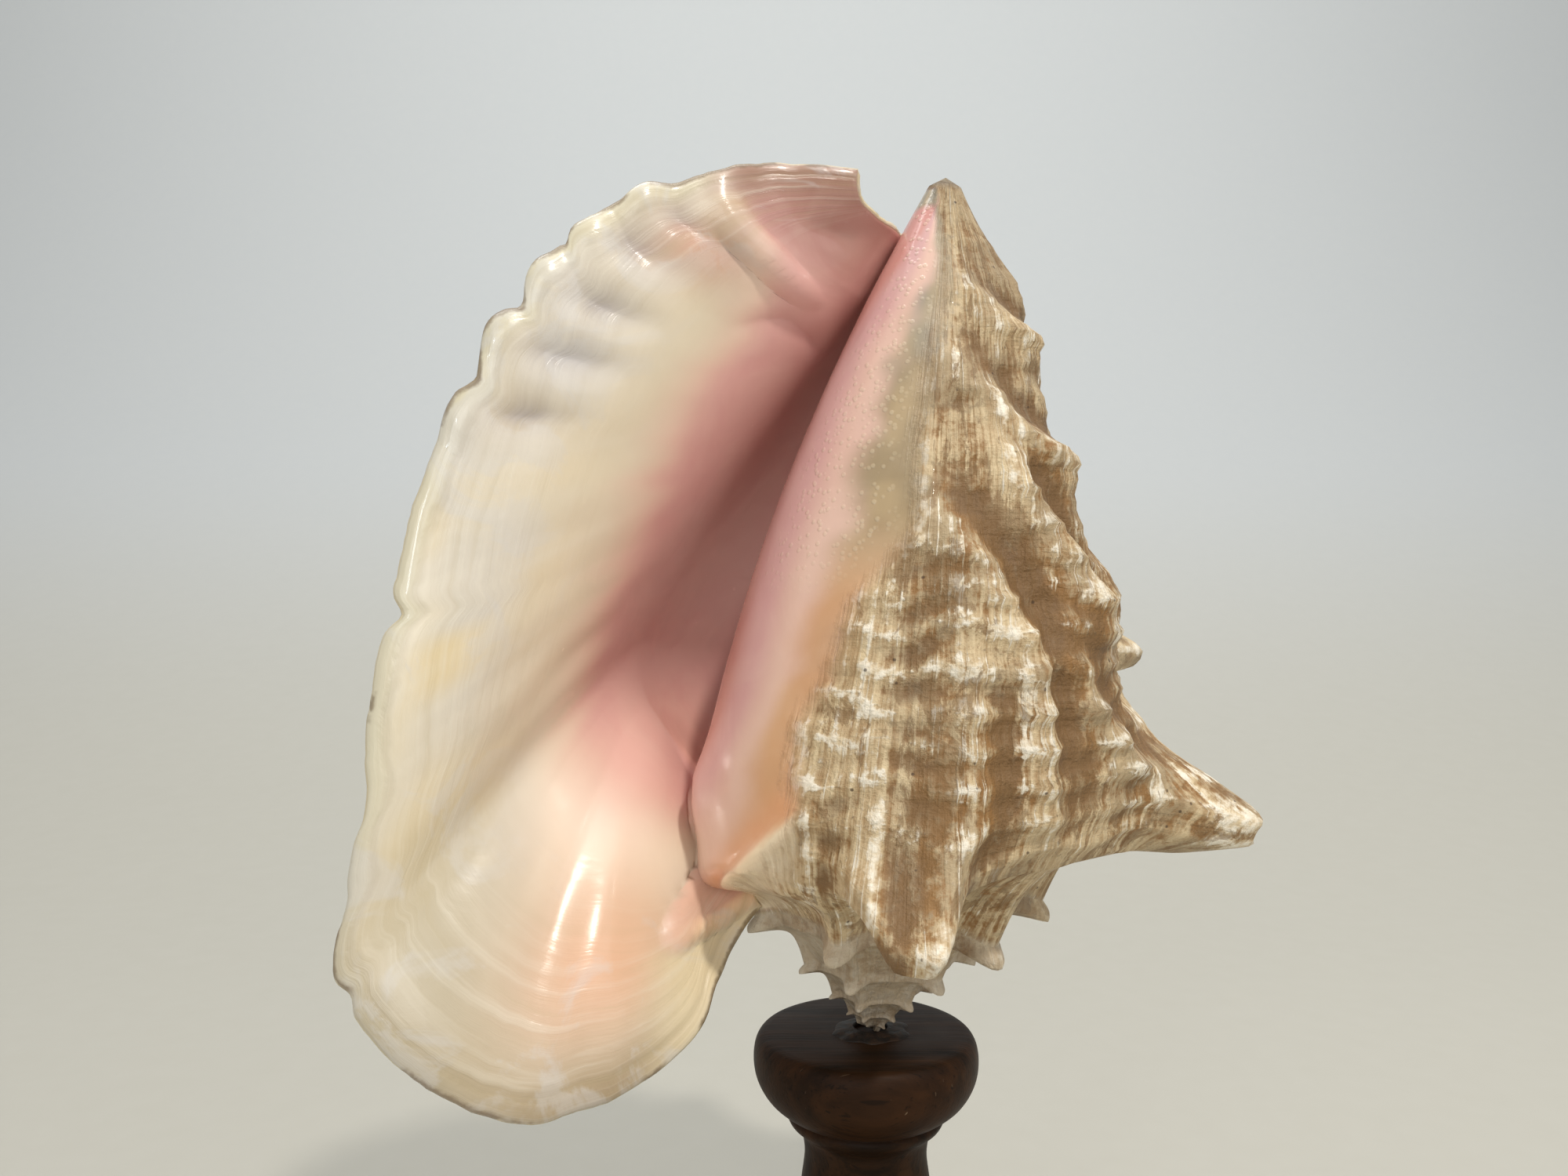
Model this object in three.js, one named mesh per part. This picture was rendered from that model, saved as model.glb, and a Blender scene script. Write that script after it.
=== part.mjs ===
// A queen conch shell standing on its spire on a turned wooden pedestal.
// Millimetres, +Z up. The origin is the middle of the foot's underside, and the shell's mouth faces -Y.
import * as THREE from "three";
import { mergeVertices } from "three/addons/utils/BufferGeometryUtils.js";

// Driving dimensions of the pedestal
const STAND_HEIGHT = 130;
const FOOT_RADIUS = 62;
const FOOT_THICKNESS = 16;
const TURNED_SIDES = 32;

// Turned outlines of the pedestal: radius, and height above (+) or below (-) the knob's flat top
const SHAFT_OUTLINE = [
  [33, -113], [29.5, -109], [25, -95], [21.6, -75], [19, -55], [17.3, -40], [16.4, -32], [17, -27],
];
const COLLAR_OUTLINE = [[18.2, -25.4], [20.4, -23.6], [21.1, -21.9], [20.6, -20.9]];
const KNOB_OUTLINE = [
  [21.6, -20.2], [26.6, -16.3], [29.4, -11.5], [30.2, -6.8], [29.6, -2.6], [28.2, -0.6], [26, 0],
];
const SHAFT_STEPS = 8;
const KNOB_STEPS = 8;

// Turned outlines of the foot: distance in from its rim, and height above the floor
const FOOT_EDGE_OUTLINE = [[1.5, 0], [0, 3.5], [2.5, 7]];
const FOOT_COVE_OUTLINE = [[4.5, 8.2], [14, 11], [18, 15], [19, 16]];
const FOOT_EDGE_STEPS = 5;
const FOOT_COVE_STEPS = 5;

// Driving dimensions of the bead of adhesive that holds the spire on the knob
const BEAD_RADIUS = 10;
const BEAD_HEIGHT = 2.2;
const BEAD_CLEARANCE = 0.3;
const BEAD_SLOPE = 0.9;
const BEAD_SIDES = 24;

// Driving dimensions of the shell, in its own frame: +Z is its axis, apex below and siphon tip above
const SHELL_LENGTH = 231;
const SHELL_LEAN = 5;
const APEX_SINK = 2.9;
const APEX_OFFSET = 1.3;
const GROWTH_PER_TURN = 1.7;
const SHOULDER_RADIUS = 85;
const SHOULDER_HEIGHT = 80;
const SHOULDER_POWER = 0.9;
const SHOULDER_ROUNDING = 0.12;
const SHOULDER_ROUND_SPAN = 0.16;
const RAMP_HOLLOW = 0.7;
const TIP_RADIUS = 4.5;
const TIP_CROWN = 3;
const RELIEF_END = 0.8;
const BAND_WIDTH = 9;
const WALL_THICKNESS = 5;
const LIP_THICKNESS = 3;
const CAVITY_FILL = 0.6;

// Angles round the shell's axis in degrees: 0 is +X, -90 faces the viewer, and the shell grows with the angle
const APEX_ANGLE = -1875;
const CAVITY_ANGLE = 15;
const LIP_ANGLE = 165;
const ANGLE_STEP = 7.5;
const TURN = 360;

// The wall is fuller on its left side than on its right: the power of its taper falls between two angles
const FULL_TAPER = { angle: -170, power: 1.7 };
const LEAN_TAPER = { angle: 0, power: 1.3 };

// Spines and knobs of the last whorl: angle, height up the wall, length, droop towards the apex, half width
const SPINES = [
  { angle: -90, above: 2, length: 29, droop: 34, half: 8.5 },
  { angle: -7.5, above: 10, length: 34, droop: 9, half: 11 },
  { angle: 45, above: 6, length: 36, droop: 10, half: 10 },
  { angle: 97.5, above: 6, length: 33, droop: 10, half: 10 },
  { angle: 135, above: 6, length: 24, droop: 10, half: 9 },
  { angle: -45, above: 56, length: 5, droop: 0, half: 9 },
  { angle: -5, above: 62, length: 5, droop: 0, half: 8 },
  { angle: 37.5, above: 44, length: 36, droop: 4, half: 8.5 },
  { angle: 82.5, above: 46, length: 16, droop: 0, half: 9 },
  { angle: 127.5, above: 46, length: 12, droop: 0, half: 9 },
  { angle: -4, above: 140, length: 6, droop: 0, half: 20 },
];

// Hollows of the last whorl between its folds, given as the spines are
const HOLLOWS = [
  { angle: -9, above: 121, length: -6, droop: 0, half: 11 },
  { angle: -10, above: 87, length: -8, droop: 0, half: 10 },
  { angle: -10, above: 41, length: -6.5, droop: 0, half: 11 },
];

// Knobs of the spire, sized with the whorl they sit on
const SPIRE_KNOBS = { spacing: 60, anchor: -532.5, length: 27, above: 1.5, half: 10.5, droop: 25 };
const SPIRE_KNOB_FADE = { from: -175, to: -215 };

// The flared lip: its rim runs from the spire round the lower lobe and up the left side to the siphon notch
const LIP_RIM = [
  [-40, -16, 29], [-46, -24, 20], [-49, -34, 8], [-62, -45, 0], [-83, -54, -3],
  [-105, -57, 6], [-124, -55, 24], [-125, -52, 48], [-124, -50, 82], [-121, -48, 115],
  [-114, -45, 152], [-101, -40, 183], [-78, -30, 212], [-46, -20, 226], [-25, -15, 227],
];
const LIP_FOCUS = [-62, 100];
const LIP_CURL = 0.3;
const LIP_START_PULL = 62;
const HEEL_SWING = 1.2;
const HEEL_SHARE = 0.16;
const HEEL_THICKNESS = 1.6;
const LIP_END_PULL = 55;
const LIP_ROWS = 8;

// Columns across a whorl: along the ramp to the shoulder, over the bare band, and up the wall to the tip
const RAMP_COLUMNS = 4;
const BAND_COLUMNS = 1;
const WALL_COLUMNS = 20;
const RAMP_SHARE = 0.2;
const BAND_SHARE = 0.07;
const NOTCH_START = 0.92;

const COLUMNS = RAMP_COLUMNS + BAND_COLUMNS + WALL_COLUMNS;
const SUTURE_COLUMN = RAMP_COLUMNS + BAND_COLUMNS;
const SEAT_COLUMN = SUTURE_COLUMN + 1;
const MERGE_DISTANCE = 1e-3;

const IVORY = new THREE.MeshStandardMaterial({ color: 0xe6d3bd, roughness: 0.35, metalness: 0 });
const WALNUT = new THREE.MeshStandardMaterial({ color: 0x2e1d15, roughness: 0.45, metalness: 0 });
const DARK_GLUE = new THREE.MeshStandardMaterial({ color: 0x1c1512, roughness: 0.5, metalness: 0 });

function smoothStep(from, to, value) {
  const share = Math.min(Math.max((value - from) / (to - from), 0), 1);
  return share * share * (3 - 2 * share);
}

function growth(angle) {
  return GROWTH_PER_TURN ** ((angle - LIP_ANGLE) / TURN);
}

function shoulderHeight(angle) {
  return SHOULDER_HEIGHT * growth(angle) ** SHOULDER_POWER;
}

function taperPower(angle) {
  const share = (angle - FULL_TAPER.angle) / (LEAN_TAPER.angle - FULL_TAPER.angle);
  return THREE.MathUtils.lerp(FULL_TAPER.power, LEAN_TAPER.power, THREE.MathUtils.clamp(share, 0, 1));
}

// Radius and height of the bare wall, climbing from 0 at the shoulder to 1 at the siphon tip
function wallAt(angle, climb) {
  const low = shoulderHeight(angle);
  const corner = Math.max(1 - climb / SHOULDER_ROUND_SPAN, 0);
  const taper = 1 - climb ** taperPower(angle) - SHOULDER_ROUNDING * corner * corner;
  return {
    radius: growth(angle) * SHOULDER_RADIUS * taper + TIP_RADIUS * climb,
    height: low + climb * (SHELL_LENGTH - low),
  };
}

// Share of the wall that the next whorl leaves bare
function bandClimb(angle) {
  return BAND_WIDTH * growth(angle) / (SHELL_LENGTH - shoulderHeight(angle));
}

// One blunt spine: how far it lifts a point that is some millimetres round and up from its middle
function spineLift(length, half, round, up) {
  return length / (1 + Math.hypot(round / half, up / half) ** 3);
}

// Push away from the axis and drop towards the apex, at a height above the shoulder measured along the wall
function relief(angle, above) {
  const size = growth(angle);
  const arm = THREE.MathUtils.DEG2RAD * size * SHOULDER_RADIUS;
  const total = { push: 0, drop: 0 };
  const add = (lift, droop) => {
    total.push += lift * Math.cos(droop * THREE.MathUtils.DEG2RAD);
    total.drop += lift * Math.sin(droop * THREE.MathUtils.DEG2RAD);
  };
  for (const spine of [...SPINES, ...HOLLOWS]) {
    add(spineLift(spine.length, spine.half, (angle - spine.angle) * arm, above - spine.above), spine.droop);
  }
  const knobs = SPIRE_KNOBS;
  const nearest = Math.round((angle - knobs.anchor) / knobs.spacing) * knobs.spacing + knobs.anchor;
  const round = (angle - nearest) * arm;
  const lift = spineLift(knobs.length * size, knobs.half * size, round, above - knobs.above * size);
  add(lift * smoothStep(SPIRE_KNOB_FADE.from, SPIRE_KNOB_FADE.to, angle), knobs.droop);
  return total;
}

// The line on the whorl before, where a whorl starts
function sutureAt(angle) {
  const before = angle - TURN;
  const start = wallAt(before, bandClimb(before));
  const { push, drop } = relief(before, BAND_WIDTH * growth(before));
  return { radius: start.radius + push, height: start.height - drop };
}

function atAngle(angle, radius, height) {
  const turn = angle * THREE.MathUtils.DEG2RAD;
  return new THREE.Vector3(radius * Math.cos(turn), radius * Math.sin(turn), height);
}

// Share of the fan of columns that a column stands for, 0 at the suture and 1 at the notch
function fanShare(column) {
  if (column <= RAMP_COLUMNS) return RAMP_SHARE * column / RAMP_COLUMNS;
  if (column <= SUTURE_COLUMN) return RAMP_SHARE + BAND_SHARE * (column - RAMP_COLUMNS) / BAND_COLUMNS;
  const bare = RAMP_SHARE + BAND_SHARE;
  return bare + (1 - bare) * (column - SUTURE_COLUMN) / WALL_COLUMNS;
}

// Past the closed turn the wall's upper edge sinks from the tip to the notch
function topClimb(angle) {
  return 1 - (1 - NOTCH_START) * smoothStep(CAVITY_ANGLE, LIP_ANGLE, angle);
}

function climbOf(angle, column) {
  const bare = bandClimb(angle);
  if (column <= SUTURE_COLUMN) return bare * (column - RAMP_COLUMNS) / BAND_COLUMNS;
  return bare + (topClimb(angle) - bare) * (column - SUTURE_COLUMN) / WALL_COLUMNS;
}

// A point of a whorl's outer face; plain leaves its own spines off
function whorlPoint(angle, column, plain = false) {
  const suture = sutureAt(angle);
  const shoulder = wallAt(angle, 0);
  let radius;
  let height;
  let above;
  let share = 1;
  if (column < RAMP_COLUMNS) {
    const ramp = column / RAMP_COLUMNS;
    const rise = ramp + RAMP_HOLLOW * ramp * (1 - ramp);
    radius = THREE.MathUtils.lerp(suture.radius, shoulder.radius, ramp);
    height = THREE.MathUtils.lerp(suture.height, shoulder.height, rise);
    above = (ramp - 1) * Math.hypot(shoulder.radius - suture.radius, shoulder.height - suture.height);
    share = smoothStep(0, 1, ramp);
  } else {
    const climb = climbOf(angle, column);
    ({ radius, height } = wallAt(angle, climb));
    above = climb * (SHELL_LENGTH - shoulder.height);
    share = smoothStep(1, RELIEF_END, climb);
  }
  if (plain) return atAngle(angle, radius, height);
  const { push, drop } = relief(angle, above);
  return atAngle(angle, radius + share * push, height - share * drop);
}

// The lip's rim as one curve
const rimPoints = LIP_RIM.map((point) => new THREE.Vector3(...point));
const rimCurve = new THREE.CatmullRomCurve3(rimPoints, false, "centripetal");

// 1 at the lip's heel beside the spire, and 0 where the lip is free of it
function heelShare(column) {
  return smoothStep(HEEL_SHARE, 0, fanShare(column));
}

// A point of the lip's outer face: a Hermite curve for each column, swung clear of the spire at the heel
function lipPoint(column, reach) {
  const start = whorlPoint(LIP_ANGLE, column);
  const end = rimCurve.getPointAt(fanShare(column));
  const pull = start.distanceTo(end);
  const leave = whorlPoint(LIP_ANGLE + 1, column).sub(start).normalize();
  leave.addScaledVector(atAngle(LIP_ANGLE, 1, 0), HEEL_SWING * heelShare(column));
  leave.setLength(Math.min(LIP_START_PULL, pull));
  const arrive = new THREE.Vector3(end.x - LIP_FOCUS[0], 0, end.z - LIP_FOCUS[1]).normalize();
  arrive.y = LIP_CURL;
  arrive.multiplyScalar(Math.min(LIP_END_PULL, pull));
  const square = reach * reach;
  const cube = square * reach;
  return new THREE.Vector3()
    .addScaledVector(start, 2 * cube - 3 * square + 1)
    .addScaledVector(leave, cube - 2 * square + reach)
    .addScaledVector(end, 3 * square - 2 * cube)
    .addScaledVector(arrive, cube - square);
}

// Triangles of a closed skin, gathered corner by corner
class Skin {
  corners = [];

  triangle(a, b, c) {
    this.corners.push(a, b, c);
  }

  quad(a, b, c, d) {
    this.triangle(a, b, c);
    this.triangle(a, c, d);
  }

  geometry() {
    const loose = new THREE.BufferGeometry().setFromPoints(this.corners);
    return closed(loose);
  }
}

// Shared corners merged and collapsed triangles dropped
function closed(geometry) {
  geometry.deleteAttribute("normal");
  geometry.deleteAttribute("uv");
  const merged = mergeVertices(geometry, MERGE_DISTANCE);
  const index = merged.getIndex().array;
  const kept = [];
  for (let i = 0; i < index.length; i += 3) {
    const [a, b, c] = [index[i], index[i + 1], index[i + 2]];
    if (a !== b && b !== c && c !== a) kept.push(a, b, c);
  }
  merged.setIndex(kept);
  merged.computeVertexNormals();
  return merged;
}

// Wall of the hollow part, row by row: the coiled wall behind the mouth and then the lip
function hollowRows() {
  const rows = [];
  for (let angle = CAVITY_ANGLE; angle <= LIP_ANGLE; angle += ANGLE_STEP) {
    rows.push({ angle, reach: 0 });
  }
  for (let row = 1; row <= LIP_ROWS; row += 1) {
    rows.push({ angle: LIP_ANGLE, reach: row / LIP_ROWS });
  }
  return rows;
}

// Outer and inner faces of the hollow part as grids of points
function hollowFaces() {
  const rows = hollowRows();
  const columns = Array.from({ length: COLUMNS + 1 }, (_, column) => column);
  const face = (plain) => rows.map(({ angle, reach }) => columns.map((column) => (
    reach > 0 ? lipPoint(column, reach) : whorlPoint(angle, column, plain))));
  const outer = face(false);
  const plain = face(true);
  const inner = plain.map((line, row) => line.map((point, column) => {
    const { angle, reach } = rows[row];
    if (column === 0 && reach === 0) return whorlPoint(angle - TURN, SEAT_COLUMN);
    const nextRow = plain[Math.min(row + 1, rows.length - 1)][column];
    const lastRow = plain[Math.max(row - 1, 0)][column];
    const along = nextRow.clone().sub(lastRow);
    const across = line[Math.min(column + 1, COLUMNS)].clone().sub(line[Math.max(column - 1, 0)]);
    const outward = along.cross(across).normalize();
    const thickness = reach > 0 ? lipThickness(reach, column) : wallThickness(angle, column);
    return point.clone().addScaledVector(outward, -thickness);
  }));
  return { rows, outer, inner };
}

// The wall's thickness: near the tip it leaves part of the space to the whorl inside it
function wallThickness(angle, column) {
  if (column <= SUTURE_COLUMN) return WALL_THICKNESS;
  const climb = climbOf(angle, column);
  const space = SHOULDER_RADIUS * (growth(angle) - growth(angle - TURN)) * (1 - climb ** taperPower(angle));
  return Math.min(WALL_THICKNESS, CAVITY_FILL * space);
}

// The lip thins from the wall's thickness towards its rim, and it is thinnest at the heel
function lipThickness(reach, column) {
  const thinning = THREE.MathUtils.lerp(wallThickness(LIP_ANGLE, column), LIP_THICKNESS, reach);
  return THREE.MathUtils.lerp(thinning, HEEL_THICKNESS, heelShare(column));
}

// The coil: every whorl from the apex to the lip, joined along its suture to the whorl before
function addCoil(skin) {
  for (let angle = APEX_ANGLE; angle < LIP_ANGLE; angle += ANGLE_STEP) {
    const next = angle + ANGLE_STEP;
    const covered = angle < CAVITY_ANGLE - TURN;
    const seated = angle < LIP_ANGLE - TURN;
    const last = covered ? SUTURE_COLUMN : COLUMNS;
    for (let column = 0; column < last; column += 1) {
      if (seated && column === SUTURE_COLUMN) continue;
      skin.quad(
        whorlPoint(angle, column), whorlPoint(next, column),
        whorlPoint(next, column + 1), whorlPoint(angle, column + 1),
      );
    }
  }
}

// The worn apex, closed with a fan to its middle
function addApex(skin) {
  const middle = new THREE.Vector3(0, 0, sutureAt(APEX_ANGLE).height);
  for (let angle = APEX_ANGLE; angle < APEX_ANGLE + TURN; angle += ANGLE_STEP) {
    skin.triangle(whorlPoint(angle + ANGLE_STEP, 0), whorlPoint(angle, 0), middle);
  }
  for (let column = 0; column < SUTURE_COLUMN; column += 1) {
    skin.triangle(whorlPoint(APEX_ANGLE, column), whorlPoint(APEX_ANGLE, column + 1), middle);
  }
}

// The blunt siphon tip, closed with a low crown
function addTip(skin) {
  const crown = new THREE.Vector3(0, 0, SHELL_LENGTH + TIP_CROWN);
  for (let angle = CAVITY_ANGLE - TURN; angle < CAVITY_ANGLE; angle += ANGLE_STEP) {
    skin.triangle(whorlPoint(angle, COLUMNS), whorlPoint(angle + ANGLE_STEP, COLUMNS), crown);
  }
}

// The end of the hollow behind the mouth: a flat face between the wall and the whorl inside it
function addCavityEnd(skin, inner) {
  const outline = inner[0].slice(0, COLUMNS);
  for (let column = COLUMNS; column > SEAT_COLUMN; column -= 1) {
    outline.push(whorlPoint(CAVITY_ANGLE - TURN, column));
  }
  const flat = outline.map((point) => new THREE.Vector2(Math.hypot(point.x, point.y), point.z));
  for (const [a, b, c] of THREE.ShapeUtils.triangulateShape(flat, [])) {
    const facesBack = THREE.ShapeUtils.area([flat[a], flat[b], flat[c]]) > 0;
    if (facesBack) skin.triangle(outline[c], outline[b], outline[a]);
    else skin.triangle(outline[a], outline[b], outline[c]);
  }
}

// The lip's outer face, the inner face of the whole hollow, and the rims that join them
function addHollow(skin, { rows, outer, inner }) {
  const end = rows.length - 1;
  for (let row = 0; row < end; row += 1) {
    const onLip = rows[row + 1].reach > 0;
    for (let column = 0; column < COLUMNS; column += 1) {
      const [a, b] = [outer[row], outer[row + 1]];
      const [c, d] = [inner[row], inner[row + 1]];
      if (onLip) skin.quad(a[column], b[column], b[column + 1], a[column + 1]);
      skin.quad(c[column + 1], d[column + 1], d[column], c[column]);
    }
    skin.quad(outer[row][COLUMNS], outer[row + 1][COLUMNS], inner[row + 1][COLUMNS], inner[row][COLUMNS]);
    if (onLip) skin.quad(outer[row + 1][0], outer[row][0], inner[row][0], inner[row + 1][0]);
  }
  for (let column = 0; column < COLUMNS; column += 1) {
    skin.quad(outer[end][column + 1], outer[end][column], inner[end][column], inner[end][column + 1]);
  }
}

function makeShell() {
  const skin = new Skin();
  const faces = hollowFaces();
  addCoil(skin);
  addApex(skin);
  addTip(skin);
  addCavityEnd(skin, faces.inner);
  addHollow(skin, faces);
  const shell = new THREE.Mesh(skin.geometry(), IVORY);
  shell.name = "shell";
  return shell;
}

// A turned piece: its profile is [radius, height] from the axis below to the axis above
function makeTurned(name, profile, material, sides = TURNED_SIDES) {
  const points = profile.map(([radius, height]) => new THREE.Vector2(radius, height));
  const turned = new THREE.LatheGeometry(points, sides).rotateX(Math.PI / 2);
  const mesh = new THREE.Mesh(closed(turned), material);
  mesh.name = name;
  return mesh;
}

// Points of a smooth stretch of profile through the given ones
function smoothProfile(through, steps) {
  const curve = new THREE.SplineCurve(through.map((point) => new THREE.Vector2(...point)));
  return curve.getPoints(steps).map((point) => [point.x, point.y]);
}

function makeColumn() {
  const fromTop = ([radius, below]) => [radius, STAND_HEIGHT + below];
  return makeTurned("stand_column", [
    [0, FOOT_THICKNESS], [SHAFT_OUTLINE[0][0], FOOT_THICKNESS],
    ...smoothProfile(SHAFT_OUTLINE.map(fromTop), SHAFT_STEPS),
    ...COLLAR_OUTLINE.map(fromTop),
    ...smoothProfile(KNOB_OUTLINE.map(fromTop), KNOB_STEPS),
    [0, STAND_HEIGHT],
  ], WALNUT);
}

function makeFoot() {
  const fromRim = ([inset, height]) => [FOOT_RADIUS - inset, height];
  return makeTurned("stand_foot", [
    [0, 0],
    ...smoothProfile(FOOT_EDGE_OUTLINE.map(fromRim), FOOT_EDGE_STEPS),
    ...smoothProfile(FOOT_COVE_OUTLINE.map(fromRim), FOOT_COVE_STEPS),
    [0, FOOT_THICKNESS],
  ], WALNUT);
}

// A low ring of adhesive round the worn apex
function makeBead() {
  const bore = growth(APEX_ANGLE + TURN / 2) * SHOULDER_RADIUS + BEAD_CLEARANCE;
  const middle = STAND_HEIGHT + BEAD_HEIGHT / 2;
  const crest = STAND_HEIGHT + BEAD_HEIGHT;
  return makeTurned("adhesive_bead", [
    [bore, STAND_HEIGHT], [BEAD_RADIUS, STAND_HEIGHT], [BEAD_RADIUS - BEAD_SLOPE, middle],
    [bore + BEAD_SLOPE, crest], [bore, middle], [bore, STAND_HEIGHT],
  ], DARK_GLUE, BEAD_SIDES);
}

const conchOnStand = new THREE.Group();
conchOnStand.add(makeFoot());
conchOnStand.add(makeColumn());
const bead = makeBead();
bead.position.x = APEX_OFFSET;
conchOnStand.add(bead);

const leaning = new THREE.Group();
leaning.rotation.y = SHELL_LEAN * THREE.MathUtils.DEG2RAD;
leaning.position.set(APEX_OFFSET, 0, STAND_HEIGHT - APEX_SINK);
leaning.add(makeShell());
conchOnStand.add(leaning);

export default conchOnStand;
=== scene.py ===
import math

import bpy
import numpy as np
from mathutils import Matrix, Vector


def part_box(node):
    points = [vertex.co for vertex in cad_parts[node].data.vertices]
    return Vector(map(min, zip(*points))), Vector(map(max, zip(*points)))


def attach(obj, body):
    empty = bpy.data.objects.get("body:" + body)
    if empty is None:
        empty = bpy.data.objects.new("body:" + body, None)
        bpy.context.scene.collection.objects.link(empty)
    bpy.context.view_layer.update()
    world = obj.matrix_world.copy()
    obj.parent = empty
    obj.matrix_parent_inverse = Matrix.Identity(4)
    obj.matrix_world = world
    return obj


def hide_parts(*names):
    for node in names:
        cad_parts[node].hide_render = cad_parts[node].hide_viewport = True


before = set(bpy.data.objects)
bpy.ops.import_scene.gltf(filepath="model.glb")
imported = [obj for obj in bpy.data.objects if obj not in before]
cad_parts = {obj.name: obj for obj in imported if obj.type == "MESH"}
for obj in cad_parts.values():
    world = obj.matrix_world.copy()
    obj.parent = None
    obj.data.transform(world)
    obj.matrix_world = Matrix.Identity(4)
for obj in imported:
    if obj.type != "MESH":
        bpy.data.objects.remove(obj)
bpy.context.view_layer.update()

# A queen conch on a turned pedestal. Shapes are worked out in millimetres and put into the meshes in metres.
scene = bpy.context.scene
metre = 1000.0
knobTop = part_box("stand_column")[1].z * metre
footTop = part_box("stand_foot")[1].z * metre
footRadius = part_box("stand_foot")[1].x * metre


def smoothStep(start, end, value):  # 3t^2 - 2t^3 of the share t of the way from start to end
    share = np.clip((value - start) / (end - start), 0.0, 1.0)
    return share * share * (3.0 - 2.0 * share)


def blend(first, second, share):
    return first + (second - first) * share


def bell(value, middle, width):  # exp(-((value - middle) / width)^2)
    return np.exp(-(((value - middle) / width) ** 2))


def unit(vectors):
    return vectors / np.maximum(np.linalg.norm(vectors, axis=-1, keepdims=True), 1e-9)


def hermite(first, second, leave, arrive, t):
    # the cubic from first to second with these slopes at its ends
    square, cube = t * t, t * t * t
    ends = (2 * cube - 3 * square + 1) * first + (3 * square - 2 * cube) * second
    return ends + (cube - 2 * square + t) * leave + (cube - square) * arrive


def curveThrough(knots, values, where):
    # cubic Hermite pieces through the values, with slopes from the neighbouring knots
    knots = np.asarray(knots, float)
    values = np.asarray(values, float)
    where = np.clip(where, knots[0], knots[-1])
    slopes = np.gradient(values, knots, axis=0)
    piece = np.clip(np.searchsorted(knots, where, side="right") - 1, 0, len(knots) - 2)
    span = knots[piece + 1] - knots[piece]
    t = (where - knots[piece]) / span
    if values.ndim > 1:
        span = span[..., None]
        t = t[..., None]
    return hermite(values[piece], values[piece + 1], span * slopes[piece], span * slopes[piece + 1], t)


def curveAlong(points, share):
    # a smooth curve through the points, read at shares of its own length
    points = np.asarray(points, float)
    steps = np.sqrt(np.linalg.norm(np.diff(points, axis=0), axis=1))
    knots = np.concatenate([[0.0], np.cumsum(steps)])
    fine = np.linspace(0.0, knots[-1], 2000)
    lengths = np.linalg.norm(np.diff(curveThrough(knots, points, fine), axis=0), axis=1)
    travelled = np.concatenate([[0.0], np.cumsum(lengths)])
    return curveThrough(knots, points, np.interp(share, travelled / travelled[-1], fine))


def valueNoise(x, y, seed, cells=64):
    # seeded numbers from -1 to 1 on a square lattice, blended with S curves between its corners
    table = np.random.default_rng(seed).uniform(-1.0, 1.0, (cells, cells))
    column, row = np.floor(x).astype(int), np.floor(y).astype(int)
    across, up = smoothStep(0, 1, x - column), smoothStep(0, 1, y - row)

    def corner(right, above):
        return table[(column + right) % cells, (row + above) % cells]

    return blend(blend(corner(0, 0), corner(1, 0), across), blend(corner(0, 1), corner(1, 1), across), up)


def cloud(start, end, x, y, seed):  # soft patches of that noise, from 0 to 1
    return smoothStep(start, end, 0.5 + 0.5 * valueNoise(x, y, seed))


def stacked(*parts):  # coordinates brought together along a last axis
    return np.stack(np.broadcast_arrays(*parts), -1)


def ink(red, green, blue):  # a colour as seen on screen, 0 to 255, in linear light
    seen = np.array([red, green, blue]) / 255.0
    return np.where(seen <= 0.04045, seen / 12.92, ((seen + 0.055) / 1.055) ** 2.4)


def washed(colours, shape, shares):
    # the first of the named colours with others laid over it in turn, each by its share
    laid = np.zeros((*shape, 3)) + ink(*next(iter(colours.values())))
    for name, share in shares.items():
        laid = laid + (ink(*colours[name]) - laid) * np.asarray(share)[..., None]
    return laid


class Wire:
    # a socket of a finish; sums and products of wires add Math nodes
    def __init__(self, finish, socket):
        self.finish = finish
        self.socket = socket

    def maths(self, operation, first, second):
        return self.finish.node("ShaderNodeMath", {"operation": operation}, {0: first, 1: second})

    def __add__(self, other):
        return self.maths("ADD", self, other)

    def __radd__(self, other):
        return self.maths("ADD", other, self)

    def __sub__(self, other):
        return self.maths("SUBTRACT", self, other)

    def __rsub__(self, other):
        return self.maths("SUBTRACT", other, self)

    def __mul__(self, other):
        return self.maths("MULTIPLY", self, other)

    def __rmul__(self, other):
        return self.maths("MULTIPLY", other, self)


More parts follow.
